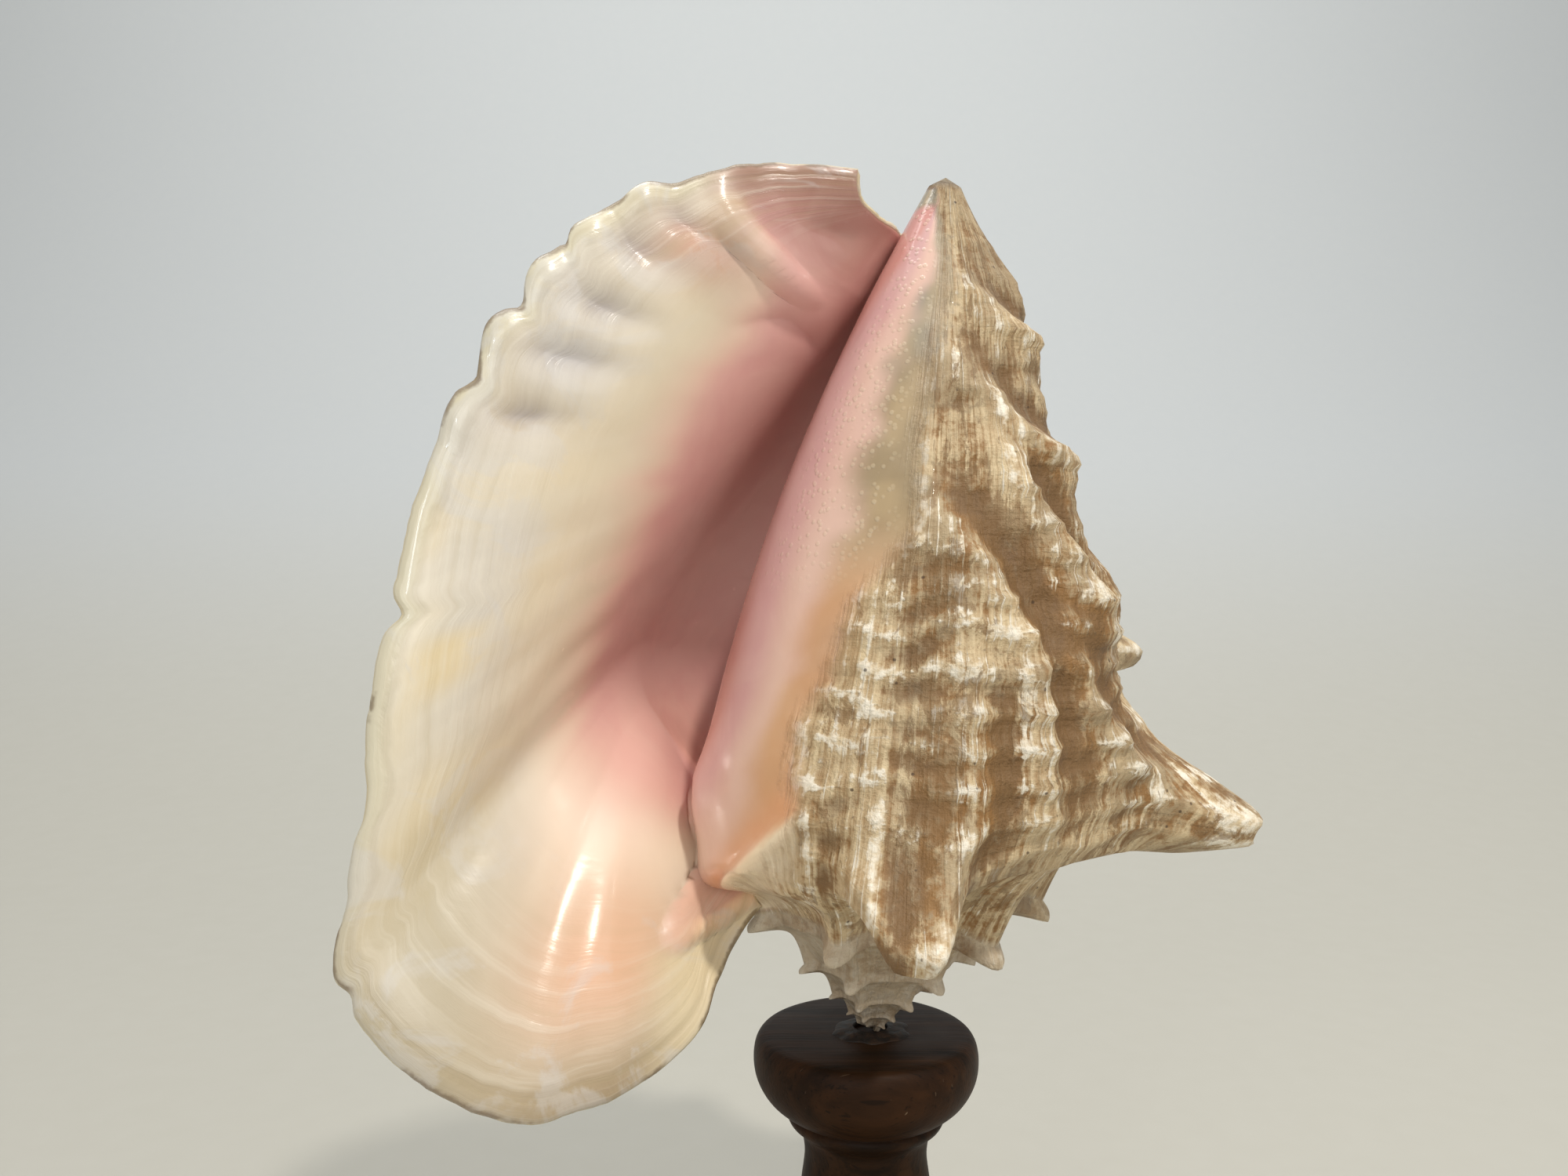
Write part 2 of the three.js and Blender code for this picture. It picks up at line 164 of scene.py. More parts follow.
class Finish:
    # a material with one Principled shader
    def __init__(self, name):
        self.material = bpy.data.materials.new(name)
        self.material.use_nodes = True
        self.tree = self.material.node_tree
        self.tree.nodes.clear()
        self.shader = self.tree.nodes.new("ShaderNodeBsdfPrincipled")
        output = self.tree.nodes.new("ShaderNodeOutputMaterial")
        self.tree.links.new(self.shader.outputs["BSDF"], output.inputs["Surface"])

    def plug(self, socket, value):
        if isinstance(value, Wire):
            self.tree.links.new(value.socket, socket)
        else:
            socket.default_value = value

    def node(self, kind, settings=None, inputs=None, output=0):
        made = self.tree.nodes.new(kind)
        for name, value in (settings or {}).items():
            setattr(made, name, value)
        for key, value in (inputs or {}).items():
            self.plug(made.inputs[key], value)
        return Wire(self, made.outputs[output])

    def surface(self, **sockets):
        for name, value in sockets.items():
            self.plug(self.shader.inputs[name.replace("_", " ")], value)

    def place(self):
        return self.node("ShaderNodeTexCoord", output="Object")

    def uv(self, name):
        return self.node("ShaderNodeUVMap", {"uv_map": name})

    def mask(self, name):
        return self.node("ShaderNodeAttribute", {"attribute_name": name}, output="Fac")

    def painted(self, name):
        return self.node("ShaderNodeAttribute", {"attribute_name": name}, output="Color")

    def noise(self, vector, scale, detail=3.0, rough=0.5, warp=0.0):
        # a scale of three numbers stretches the vector by them
        if isinstance(scale, tuple):
            vector = self.node("ShaderNodeVectorMath", {"operation": "MULTIPLY"}, {0: vector, 1: scale})
            scale = 1.0
        sockets = {"Vector": vector, "Scale": scale, "Detail": detail, "Roughness": rough, "Distortion": warp}
        return self.node("ShaderNodeTexNoise", {"noise_dimensions": "3D"}, sockets, "Fac")

    def cells(self, vector, scale, output="Distance"):
        return self.node("ShaderNodeTexVoronoi", {}, {"Vector": vector, "Scale": scale}, output)

    def rise(self, value, start, end):
        sockets = {"Value": value, "From Min": start, "From Max": end}
        return self.node("ShaderNodeMapRange", {"interpolation_type": "SMOOTHSTEP"}, sockets)

    def layers(self, colours, shares):
        # the first of the named colours or wires with others laid over it in turn, each by its share
        hues = {name: hue if isinstance(hue, Wire) else (*ink(*hue), 1.0) for name, hue in colours.items()}
        laid = next(iter(hues.values()))
        for name, share in shares.items():
            laid = self.node("ShaderNodeMix", {"data_type": "RGBA"}, {0: share, 6: laid, 7: hues[name]}, 2)
        return laid

    def bump(self, height, depth, strength=1.0):
        return self.node("ShaderNodeBump", {}, {"Height": height, "Distance": depth, "Strength": strength})


class Skin:
    # grids of points with their masks and the faces between them, welded into one mesh at the end
    masks = ("glaze", "cord", "crest", "wearAndPaintedLight", "spire", "stain", "dots", "rim")

    def __init__(self):
        self.points, self.growth, self.tone = [], [], []
        self.values = {name: [] for name in self.masks}
        self.faces = {}
        self.count = 0

    def grid(self, points, growth=(0.0, 0.0), tone=(0.5, 0.4, 0.3), **masks):
        shape = points.shape[:-1]
        self.points.append(points.reshape(-1, 3))
        self.growth.append(np.broadcast_to(growth, (*shape, 2)).reshape(-1, 2))
        self.tone.append(np.broadcast_to(tone, (*shape, 3)).reshape(-1, 3))
        for name in self.masks:
            self.values[name].append(np.broadcast_to(masks.get(name, 0.0), shape).ravel())
        ids = np.arange(points.size // 3).reshape(shape) + self.count
        self.count += ids.size
        return ids

    def polygons(self, corners):
        self.faces.setdefault(corners.shape[-1], []).append(corners.reshape(-1, corners.shape[-1]))

    def quads(self, ids, flip=False):
        corners = np.stack([ids[:-1, :-1], ids[1:, :-1], ids[1:, 1:], ids[:-1, 1:]], -1)
        self.polygons(corners[..., ::-1] if flip else corners)

    def collect(self, merged):
        # welded and raw corner ids of every face, with corners that fell together taken out
        welded, raw = {}, {}
        for sides in sorted(self.faces, reverse=True):
            rows = np.concatenate(self.faces[sides])
            kept = merged[rows]
            same = kept == np.roll(kept, -1, axis=1)
            doubled = same.sum(1)
            for out, source in ((welded, kept), (raw, rows)):
                out.setdefault(sides, []).append(source[doubled == 0])
                if sides == 4:
                    out.setdefault(3, []).append(source[doubled == 1][~same[doubled == 1]].reshape(-1, 3))
        order = sorted(welded)
        sizes = [np.concatenate(welded[sides]) for sides in order]
        corners = np.concatenate([rows.ravel() for rows in sizes])
        rawCorners = np.concatenate([np.concatenate(raw[sides]).ravel() for sides in order])
        totals = np.concatenate([np.full(len(rows), rows.shape[1]) for rows in sizes])
        return corners, rawCorners, totals

    def mesh(self, name, toWorld):
        points = np.concatenate(self.points)
        keys = np.round(points * 1e4).astype(np.int64)
        first, merged = np.unique(keys, axis=0, return_index=True, return_inverse=True)[1:]
        corners, rawCorners, totals = self.collect(merged.ravel())
        used, corners = np.unique(corners, return_inverse=True)
        source = first[used]
        made = bpy.data.meshes.new(name)
        made.vertices.add(len(source))
        made.vertices.foreach_set("co", toWorld(points[source]).astype(np.float32).ravel())
        made.loops.add(len(corners))
        made.loops.foreach_set("vertex_index", corners.ravel().astype(np.int32))
        made.polygons.add(len(totals))
        made.polygons.foreach_set("loop_start", (np.cumsum(totals) - totals).astype(np.int32))
        made.polygons.foreach_set("use_smooth", np.ones(len(totals), bool))
        made.update(calc_edges=True)
        layer = made.uv_layers.new(name="growth")
        layer.data.foreach_set("uv", np.concatenate(self.growth)[rawCorners].astype(np.float32).ravel())
        for mask, values in self.values.items():
            attribute = made.attributes.new(mask, "FLOAT", "POINT")
            attribute.data.foreach_set("value", np.concatenate(values)[source].astype(np.float32))
        tones = np.concatenate(self.tone)[source]
        tones = np.concatenate([tones, np.ones((len(tones), 1))], 1)
        shade = made.attributes.new("tone", "FLOAT_COLOR", "POINT")
        shade.data.foreach_set("color", tones.astype(np.float32).ravel())
        print(name, "vertices", len(source), "triangles", int((totals - 2).sum()))
        return made


def smoothMesh(name, points, faces):
    mesh = bpy.data.meshes.new(name)
    mesh.from_pydata(points.tolist(), [], faces)
    mesh.polygons.foreach_set("use_smooth", np.ones(len(faces), bool))
    return mesh


def addPiece(name, mesh, material, node):
    piece = bpy.data.objects.new(name, mesh)
    scene.collection.objects.link(piece)
    piece.data.materials.append(material)
    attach(piece, "root")
    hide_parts(node)
    return piece


# The photograph's view: a level camera, placed from the middle of the knob's top
view = {"place": (-22.0, -320.0, 119.4), "lens": 27.2, "sensor": 36.0}


def addCamera():
    camera = bpy.data.cameras.new("photoView")
    camera.lens = view["lens"]
    camera.sensor_width = view["sensor"]
    camera.clip_start = 0.01
    holder = bpy.data.objects.new("photoView", camera)
    x, y, z = view["place"]
    holder.location = (x / metre, y / metre, (knobTop + z) / metre)
    holder.rotation_euler = (math.pi / 2, 0, 0)
    scene.collection.objects.link(holder)
    scene.camera = holder


# The coil, in the shell's own frame: +Z is its axis, apex below; angles in degrees grow with the shell
coil = {
    "length": 231.0, "growthPerTurn": 1.7, "shoulderRadius": 85.0, "shoulderHeight": 80.0,
    "shoulderPower": 0.9, "rounding": 0.12, "roundSpan": 0.16,
    "rampHollow": (0.7, -0.25), "hollowSpan": (40.0, 150.0),
    "tipRadius": 4.5, "tipCrown": 3.0, "reliefEnd": 0.8, "bandWidth": 9.0,
    "fullTaper": (-170.0, 1.7), "leanTaper": (0.0, 1.3), "notchStart": 0.92,
    "apexAngle": -1875.0, "cavityAngle": 15.0, "lipAngle": 165.0, "angleStep": 2.0,
    "rampColumns": 16, "bandColumns": 5, "wallColumns": 84, "seatColumns": 4,
    "rampShare": 0.2, "bandShare": 0.07, "lean": 5.0, "apexSink": 2.9, "apexOffset": 1.3,
    "wall": 5.0, "cavityFill": 0.6, "spireSpan": (-520.0, -250.0),
}
turn = 360.0
mouthAngle = coil["lipAngle"] - turn
sutureColumn = coil["rampColumns"] + coil["bandColumns"]
seatColumn = sutureColumn + coil["seatColumns"]
columns = sutureColumn + coil["wallColumns"]
growthRun = coil["shoulderRadius"] * 2 * math.pi / math.log(coil["growthPerTurn"])

# Spines, knobs and pads (+) and hollows (-) of the last whorl: angle, height above the shoulder, length,
# droop and half width; the first ones are blunt, with ends that are worn white
spines = [
    (-90, 2, 29, 34, 8.5), (-7.5, 10, 34, 9, 11), (45, 6, 36, 10, 10),
    (97.5, 6, 33, 10, 10), (135, 6, 24, 10, 9),
    (-45, 56, 5, 0, 9), (-5, 62, 5, 0, 8), (37.5, 44, 40, 4, 8), (82.5, 46, 16, 0, 9), (127.5, 46, 12, 0, 9),
    (-4, 140, 6, 0, 20), (-168, -12, 12, 55, 13),
    (-9, 121, -6, 0, 11), (-10, 87, -8, 0, 10), (-10, 41, -6.5, 0, 11),
    (-92, 9, -5, 20, 6), (-170, 14, 3.2, 0, 9),
    (-148, -17, 9, 35, 11), (-126, -15, 8, 35, 11), (-108, -14, 5, 35, 9),
]
spineShape = {
    "bluntOnes": 5, "flatTop": 0.93, "drawLength": 20, "draw": 0.42, "drawReach": 2.2, "drawFrom": -165.0,
}
spireKnobs = {
    "spacing": 60.0, "anchor": -532.5, "length": 27.0, "above": 1.5, "half": 10.5, "droop": 25.0,
    "fade": (-175.0, -215.0),
}

# Folds of the body: angles, climbs and heights along each crest, and its half widths before and after it
folds = [
    ((-58, -58, -61, -62, -64, -69, -78, -90, -100),
     (0.03, 0.067, 0.129, 0.198, 0.265, 0.339, 0.418, 0.476, 0.54),
     (0, 1.5, 3, 5, 6.5, 7, 5.5, 3, 0), 8.0, 3.0),
    ((-22, -34, -42, -50, -64, -70, -80),
     (0.31, 0.36, 0.393, 0.446, 0.542, 0.575, 0.64), (2, 5, 6.5, 7, 5, 3, 0), 6.5, 3.5),
    ((-12, -30, -51, -58, -79, -90, -100),
     (0.56, 0.575, 0.592, 0.609, 0.686, 0.734, 0.79), (4, 6, 6, 5.5, 3.5, 1.5, 0), 6.5, 3.5),
    ((-5, -25, -48, -66, -79, -90), (0.74, 0.755, 0.77, 0.80, 0.836, 0.88), (4, 5, 5, 3.5, 2, 0), 6.0, 4.0),
    ((-88, -85.6, -79, -79, -80, -82.5, -88),
     (-0.01, 0.029, 0.085, 0.142, 0.255, 0.345, 0.42), (3, 4, 4, 3.5, 3, 1.5, 0), 4.5, 3.0),
    ((-102, -101, -99.5, -97), (-0.01, 0.03, 0.066, 0.13), (4, 4, 2, 0), 2.6, 3.0),
    ((-10, -23, -35, -46, -55, -62),
     (0.06, 0.104, 0.16, 0.225, 0.291, 0.35), (1, 2.5, 3.5, 3.5, 2.5, 0), 4.0, 4.0),
    ((45, 45, 44, 38, 28, 18), (0.03, 0.11, 0.27, 0.36, 0.47, 0.58), (0, 3, 5, 5, 3, 0), 8.0, 3.5),
    ((97, 97, 96, 90, 80, 70), (0.03, 0.11, 0.27, 0.36, 0.47, 0.58), (0, 3, 5, 5, 3, 0), 8.0, 3.5),
    ((135, 135, 134, 130, 122, 114), (0.03, 0.11, 0.27, 0.36, 0.47, 0.58), (0, 2.5, 4, 3.5, 2, 0), 8.0, 3.5),
]
foldValley = {"away": 7.5, "half": 4.0, "share": 0.4, "samples": 48, "from": -130.0}
cords = {
    "spacing": 0.0485, "shift": 0.0135, "height": 1.1, "fade": (0.3, 0.5), "faint": 0.35,
    "threadSpacing": 4.5, "threadHeight": 0.35, "threadFrom": (0.25, 0.4),
    "wander": 0.35, "start": (-4.0, 6.0),
}
crust = {
    "fine": 3.0, "fineHeight": 0.25, "coarse": 9.0, "coarseHeight": 0.5,
    "ribs": 5.5, "ribLength": 40.0, "ribHeight": 0.55,
    "seed": 11, "crestRows": 6, "crestColumns": 5, "crestHeight": 1.6,
}

# The glazed callus ends along this border on the body; the columella's edge lies at its other side
callus = {
    "climbs": (-0.14, -0.06, 0.03, 0.126, 0.186, 0.266, 0.362, 0.462, 0.568, 0.704, 0.905, 1.0),
    "border": (-150, -128, -116, -120, -121, -114, -110, -95, -96, -93, -92, -122),
    "edgeClimbs": (-0.14, 0.05, 0.11, 0.16, 0.21, 0.28, 0.40, 0.50, 0.62, 0.70, 0.81, 0.93, 1.0),
    "edge": (-190, -173, -161, -153, -149, -148, -152, -154, -152, -153, -137, -113, -105),
    "soft": (11.0, 26.0), "softClimb": (0.4, 0.9), "rampFade": (-32.0, -20.0), "seamFade": 3.0,
    "dotClimb": (0.34, 0.46), "dotStart": (-62.0, -42.0), "dotEnd": (-2.0, -16.0),
}
# The callus ridge beside the posterior canal: angles, heights above the shoulder, lifts and half width
canalRidge = {
    "angles": (-200, -176, -151, -125, -112, -104), "above": (-27, -21, -9.2, 7.7, 17, 24),
    "lifts": (1.5, 3.0, 4.0, 3.4, 1.8, 0.0), "half": 2.8,
    "frontEnd": (-104.0, -118.0), "backEnd": (-215.0, -195.0),
}


def growth(angle):
    return coil["growthPerTurn"] ** ((angle - coil["lipAngle"]) / turn)


def shoulderHeight(angle):
    return coil["shoulderHeight"] * growth(angle) ** coil["shoulderPower"]


def wallLength(angle):
    return coil["length"] - shoulderHeight(angle)


def taperPower(angle):
    (start, full), (end, lean) = coil["fullTaper"], coil["leanTaper"]
    return blend(full, lean, np.clip((angle - start) / (end - start), 0, 1))


def wallAt(angle, climb):
    # radius g R (1 - climb^p - rounding) + tip, height from the shoulder to the tip in step with climb
    low = shoulderHeight(angle)
    corner = np.maximum(1 - climb / coil["roundSpan"], 0)
    taper = 1 - climb ** taperPower(angle) - coil["rounding"] * corner * corner
    radius = growth(angle) * coil["shoulderRadius"] * taper + coil["tipRadius"] * climb
    return radius, low + climb * (coil["length"] - low)


def bandClimb(angle):
    return coil["bandWidth"] * growth(angle) / wallLength(angle)


def callusBorder(climb):
    return curveThrough(callus["climbs"], callus["border"], climb)


def canalDistance(angle, above):  # millimetres above the ridge beside the canal
    return above - curveThrough(canalRidge["angles"], canalRidge["above"], angle)


def glazeAt(angle, above):
    # 1 on the callus and inside the mouth, 0 on the crust
    climb = above / wallLength(angle)
    border = callusBorder(climb)
    soft = blend(*callus["soft"], smoothStep(*callus["softClimb"], climb))
    inside = smoothStep(border + soft, border - soft, angle) * smoothStep(*callus["rampFade"], above)
    band = coil["bandWidth"] * growth(angle)
    seam = smoothStep(band, band + callus["seamFade"], above) * (angle > mouthAngle - turn)
    return inside * np.where(angle < mouthAngle, seam, 1.0)


def foldLift(angle, above):
    # height / (1 + (d / half)^2) of the distance d to each crest, less a valley on the side that it grew to
    angle, above = np.broadcast_arrays(np.asarray(angle, float), np.asarray(above, float))
    total = np.zeros(angle.shape)
    bodyOnly = (angle > foldValley["from"]) & (above > -20)
    angle, above = angle[bodyOnly], above[bodyOnly]
    arm = np.radians(1) * wallAt(angle, np.clip(above / wallLength(angle), 0, 1))[0]
    lift = np.zeros(angle.shape)
    for crestAngles, climbs, heights, before, after in folds:
        along = np.linspace(0, len(climbs) - 1, foldValley["samples"])
        knots = np.arange(len(climbs))
        crest = curveThrough(knots, np.stack([crestAngles, climbs, heights], -1), along)
        lead = np.gradient(crest, axis=0)
        nearest = np.full(angle.shape, 1e9)
        height, side = np.zeros(angle.shape), np.zeros(angle.shape)
        for (middle, climb, tall), (turning, climbing, _) in zip(crest, lead):
            across = (angle - middle) * arm
            up = above - climb * wallLength(angle)
            distance = np.hypot(across, up)
            closer = distance < nearest
            nearest = np.where(closer, distance, nearest)
            height = np.where(closer, tall, height)
            side = np.where(closer, across * climbing * wallLength(angle) - up * turning * arm, side)
        half = np.where(side > 0, after, before)
        valley = foldValley["share"] * bell(nearest, foldValley["away"], foldValley["half"]) * (side > 0)
        lift = lift + height * (1 / (1 + (nearest / half) ** 2) - valley)
    total[bodyOnly] = lift
    return total


def cordWave(angle, above):  # 1 on the crest of a spiral cord, 0 between two
    climb = above / wallLength(angle)
    wander = cords["wander"] * valueNoise(angle / 14, climb * 9 + 20, 3)
    return 0.5 + 0.5 * np.cos(2 * np.pi * ((climb + cords["shift"]) / cords["spacing"] + wander))


def cordLift(angle, above):
    # rounded spiral cords at even climbs, and finer threads higher up
    climb = above / wallLength(angle)
    wave = cordWave(angle, above)
    height = cords["height"] * blend(1, cords["faint"], smoothStep(*cords["fade"], climb))
    drift = cords["wander"] * valueNoise(angle / 11, climb * 9, 4)
    thread = 0.5 + 0.5 * np.cos(2 * np.pi * (above / cords["threadSpacing"] + drift))
    fine = cords["threadHeight"] * smoothStep(*cords["threadFrom"], climb)
    return (height * wave * wave + fine * thread) * smoothStep(*cords["start"], above)


def grainLift(angle, above):
    run = growthRun * growth(angle)
    fine = valueNoise(run / crust["fine"], above / crust["fine"], crust["seed"])
    coarse = valueNoise(run / crust["coarse"], above / crust["coarse"], crust["seed"] + 1)
    ribs = valueNoise(run / crust["ribs"], above / crust["ribLength"], crust["seed"] + 2)
    return crust["fineHeight"] * fine + crust["coarseHeight"] * coarse + crust["ribHeight"] * ribs


def canalLift(angle, above):
    lift = np.interp(angle, canalRidge["angles"], canalRidge["lifts"], 0, 0)
    return lift / (1 + (canalDistance(angle, above) / canalRidge["half"]) ** 2)


def spineShare(angle, above, spine):  # 1 / (1 + d^3) of the distance in half widths
    middle, height, _, _, half = spine
    arm = np.radians(1) * growth(angle) * coil["shoulderRadius"]
    return 1 / (1 + np.hypot((angle - middle) * arm / half, (above - height) / half) ** 3)


def knobLift(angle, above):
    size = growth(angle)
    nearest = np.round((angle - spireKnobs["anchor"]) / spireKnobs["spacing"])
    middle = nearest * spireKnobs["spacing"] + spireKnobs["anchor"]
    knob = (middle, spireKnobs["above"] * size, 0, 0, spireKnobs["half"] * size)
    lift = spireKnobs["length"] * size * spineShare(angle, above, knob)
    return lift * smoothStep(*spireKnobs["fade"], angle)


def fineLift(angle, above):
    bare = 1 - smoothStep(0.35, 1, glazeAt(angle, above))
    fold = foldLift(angle, above)
    lift = (fold + cordLift(angle, above) * (1 + 0.2 * np.clip(fold, 0, 5))) * bare
    return (lift + grainLift(angle, above) * (0.1 + 0.9 * bare)) * np.minimum(growth(angle) * 2, 1)


def relief(angle, above):
    # push away from the axis and drop towards the apex
    push = np.zeros(np.broadcast(angle, above).shape)
    drop = np.zeros_like(push)
    for spine in spines:
        lift = spine[2] * np.minimum(spineShare(angle, above, spine), spineShape["flatTop"])
        push = push + lift * math.cos(math.radians(spine[3]))
        drop = drop + lift * math.sin(math.radians(spine[3]))
    lift = knobLift(angle, above)
    push = push + lift * math.cos(math.radians(spireKnobs["droop"]))
    drop = drop + lift * math.sin(math.radians(spireKnobs["droop"]))
    return push + fineLift(angle, above) + canalLift(angle, above), drop


def sutureAt(angle):
    before = angle - turn
    radius, height = wallAt(before, bandClimb(before))
    push, drop = relief(before, coil["bandWidth"] * growth(before))
    return radius + push, height - drop


def atAngle(angle, radius, height):
    spun = np.radians(angle)
    return stacked(radius * np.cos(spun), radius * np.sin(spun), height)


def fanShare(column):
    stops = (0, coil["rampColumns"], sutureColumn, columns)
    return np.interp(column, stops, (0, coil["rampShare"], coil["rampShare"] + coil["bandShare"], 1))


def climbOf(angle, column):
    top = 1 - (1 - coil["notchStart"]) * smoothStep(coil["cavityAngle"], coil["lipAngle"], angle)
    bare = bandClimb(angle)
    onBand = bare * np.maximum(column - coil["rampColumns"], 0) / coil["bandColumns"]
    onWall = bare + (top - bare) * (column - sutureColumn) / coil["wallColumns"]
    return np.where(column <= sutureColumn, onBand, onWall)


def rampLength(angle):
    radius, height = sutureAt(angle)
    shoulderRadius, low = wallAt(angle, 0.0)
    return np.hypot(shoulderRadius - radius, low - height)


def aboveOf(angle, column):  # millimetres along the wall from the shoulder, negative on the ramp
    ramp = np.clip(column / coil["rampColumns"], 0, 1)
    onRamp = (ramp - 1) * rampLength(angle)
    return np.where(column < coil["rampColumns"], onRamp, climbOf(angle, column) * wallLength(angle))


def gathered(angle, above):
    # rows and columns drawn in towards the spines, so that their steep sides keep enough faces
    arm = np.radians(1) * growth(angle) * coil["shoulderRadius"]
    ramp = 1 + above / rampLength(angle)
    share = smoothStep(0, 0.5, np.where(above < 0, ramp, 1))
    share = share * smoothStep(mouthAngle, spineShape["drawFrom"], angle)
    newAngle, newAbove = angle + 0 * above, above + 0 * angle
    for middle, height, length, _, half in spines:
        if length > spineShape["drawLength"]:
            near = bell(np.hypot((angle - middle) * arm, above - height), 0, spineShape["drawReach"] * half)
            drawn = spineShape["draw"] * share * near
            newAngle = newAngle - drawn * (angle - middle)
            newAbove = newAbove - drawn * (above - height)
    return newAngle, newAbove


def whorlPoint(angle, above, rough=True):
    # the ramp runs straight out from the suture with a hollow, the wall climbs from the shoulder
    sutureRadius, sutureHeight = sutureAt(angle)
    shoulderRadius, low = wallAt(angle, 0.0)
    onRamp = above < 0
    ramp = np.clip(1 + above / np.hypot(shoulderRadius - sutureRadius, low - sutureHeight), 0, 1)
    climb = np.clip(above / wallLength(angle), 0, 1)
    wallRadius, wallHeight = wallAt(angle, climb)
    rise = ramp + blend(*coil["rampHollow"], smoothStep(*coil["hollowSpan"], angle)) * ramp * (1 - ramp)
    radius = np.where(onRamp, blend(sutureRadius, shoulderRadius, ramp), wallRadius)
    height = np.where(onRamp, blend(sutureHeight, low, rise), wallHeight)
    if rough:
        push, drop = relief(angle, above)
        share = np.where(onRamp, smoothStep(0, 1, ramp), smoothStep(1, coil["reliefEnd"], climb))
        radius, height = radius + share * push, height - share * drop
    return atAngle(angle, radius, height)


def whorl(angle, column, rough=True):
    angle, column = np.broadcast_arrays(np.asarray(angle, float), np.asarray(column, float))
    above = aboveOf(angle, column)
    if rough:
        angle, above = gathered(angle, above)
    return whorlPoint(angle, above, rough)


# The flared lip: its rim from the spire round the lower lobe and up the left side to the siphon notch
lip = {
    "rim": [
        (-40, -16, 29), (-46, -24, 20), (-49, -34, 8), (-62, -45, 0), (-83, -54, -3),
        (-105, -57, 6), (-124, -55, 24), (-125, -52, 48), (-124, -50, 82), (-121, -48, 115),
        (-114, -45, 152), (-101, -40, 183), (-78, -30, 212), (-46, -20, 226), (-25, -15, 227),
    ],
    "focus": (-62.0, 100.0), "curl": 0.3, "startPull": 62.0, "endPull": 55.0,
    "thickness": 2.6, "heelThickness": 1.6, "heelShare": 0.16, "heelEnd": (-168.0, 0.1),
    "rows": 38, "fineness": 3, "rimRounds": 4, "run": 110.0, "rimLength": 520.0,
}
# Chips (+) and bulges (-) of the rim: share along it, depth, half width as a share
rimChips = [
    (0.06, 4.0, 0.010), (0.157, 2.5, 0.012), (0.195, -0.8, 0.012), (0.31, 4.0, 0.008), (0.328, -1.2, 0.008),
    (0.362, 3.2, 0.013), (0.42, 4.6, 0.030), (0.505, -0.8, 0.010), (0.536, 6.0, 0.008), (0.59, -0.7, 0.012),
    (0.689, 5.2, 0.012), (0.72, -1.2, 0.008), (0.742, 5.0, 0.009), (0.766, -2.2, 0.009), (0.789, 2.2, 0.005),
    (0.799, -1.8, 0.006), (0.834, 1.2, 0.008), (0.884, 4.5, 0.018), (0.908, 3.5, 0.009), (0.958, 1.2, 0.008),
]
# Ragged edge of the rim: height, waves along it, row of the noise and seed
rimGrain = [(0.9, 70, 3.5, 5), (0.5, 190, 7.5, 6)]
# Crust on the lip's back: height, waves along share and reach, seed
lipGrain = [(0.5, 70, 12, 31), (0.3, 12, 26, 32)]
# Dimples (-) and swellings (+) of the whole sheet: share, reach, lift, half widths along share and reach; the
# first ones get grey paint, partly painted shade and partly the shell's translucent grey
shadedDimples = 5
sheetWaves = [
    (0.868, 0.81, -2.0, 0.014, 0.12), (0.828, 0.81, -2.4, 0.015, 0.12), (0.778, 0.745, -2.6, 0.016, 0.13),
    (0.731, 0.745, -2.4, 0.016, 0.13), (0.681, 0.775, -2.0, 0.016, 0.12),
    (0.852, 0.96, 1.6, 0.013, 0.08), (0.808, 0.95, 1.8, 0.015, 0.08), (0.766, 0.96, 2.0, 0.014, 0.08),
    (0.722, 0.96, 2.0, 0.014, 0.08), (0.665, 0.95, 1.4, 0.016, 0.08),
    (0.60, 0.88, -0.8, 0.03, 0.06), (0.46, 0.75, 0.8, 0.06, 0.2),
    (0.27, 0.72, 1.2, 0.035, 0.25), (0.20, 0.62, -1.2, 0.02, 0.22), (0.16, 0.6, 1.0, 0.018, 0.2),
]
siphonFold = {
    "reaches": (0.2, 0.383, 0.533, 0.667, 0.9, 1.0), "shares": (0.872, 0.881, 0.891, 0.895, 0.906, 0.91),
    "lifts": (0, 2.4, 3.4, 3.0, 1.2, 0.6), "half": 0.0095,
    "hollow": -2.0, "hollowShare": 0.945, "hollowHalf": 0.03,
}
# The arched crease at the top of the throat: its shares at reaches
throatCrease = {
    "reaches": (0.0, 0.17, 0.3, 0.42), "shares": (0.825, 0.835, 0.838, 0.8), "lift": -1.1, "half": 0.016,
    "fade": (0.46, 0.2),
}
# Where the callus flows from the body onto the lip: its left edge as shares at reaches, its lower edge as
# reaches at shares, and how far it stands up
callusFlow = {
    "leftReaches": (0.0, 0.15, 0.37, 0.5, 0.573, 0.63),
    "leftShares": (0.07, 0.064, 0.034, 0.04, 0.085, 0.108),
    "lowShares": (0.0, 0.029, 0.042, 0.071, 0.108), "lowReaches": (0.95, 0.87, 0.81, 0.69, 0.63),
    "lift": 1.5, "edge": 0.02, "fall": 0.04, "end": (0.108, 0.085),
    "ridge": 1.2, "ridgeHalf": 0.03, "ridgeEnd": (0.1, 0.05),
}


def creaseShare(share, reach):  # 1 along the throat's crease
    middle = curveThrough(throatCrease["reaches"], throatCrease["shares"], reach)
    return bell(share, middle, throatCrease["half"]) * smoothStep(*throatCrease["fade"], reach)


def flowLow(share):
    return np.interp(share, callusFlow["lowShares"], callusFlow["lowReaches"])


def flowShare(share, reach):  # 1 on the callus that lies on the lip, 0 outside it
    left = np.interp(reach, callusFlow["leftReaches"], callusFlow["leftShares"])
    half = callusFlow["edge"] / 2
    inside = smoothStep(left + half, left - half, share) * smoothStep(*callusFlow["end"], share)
    return inside * smoothStep(flowLow(share) + callusFlow["fall"], flowLow(share), reach)


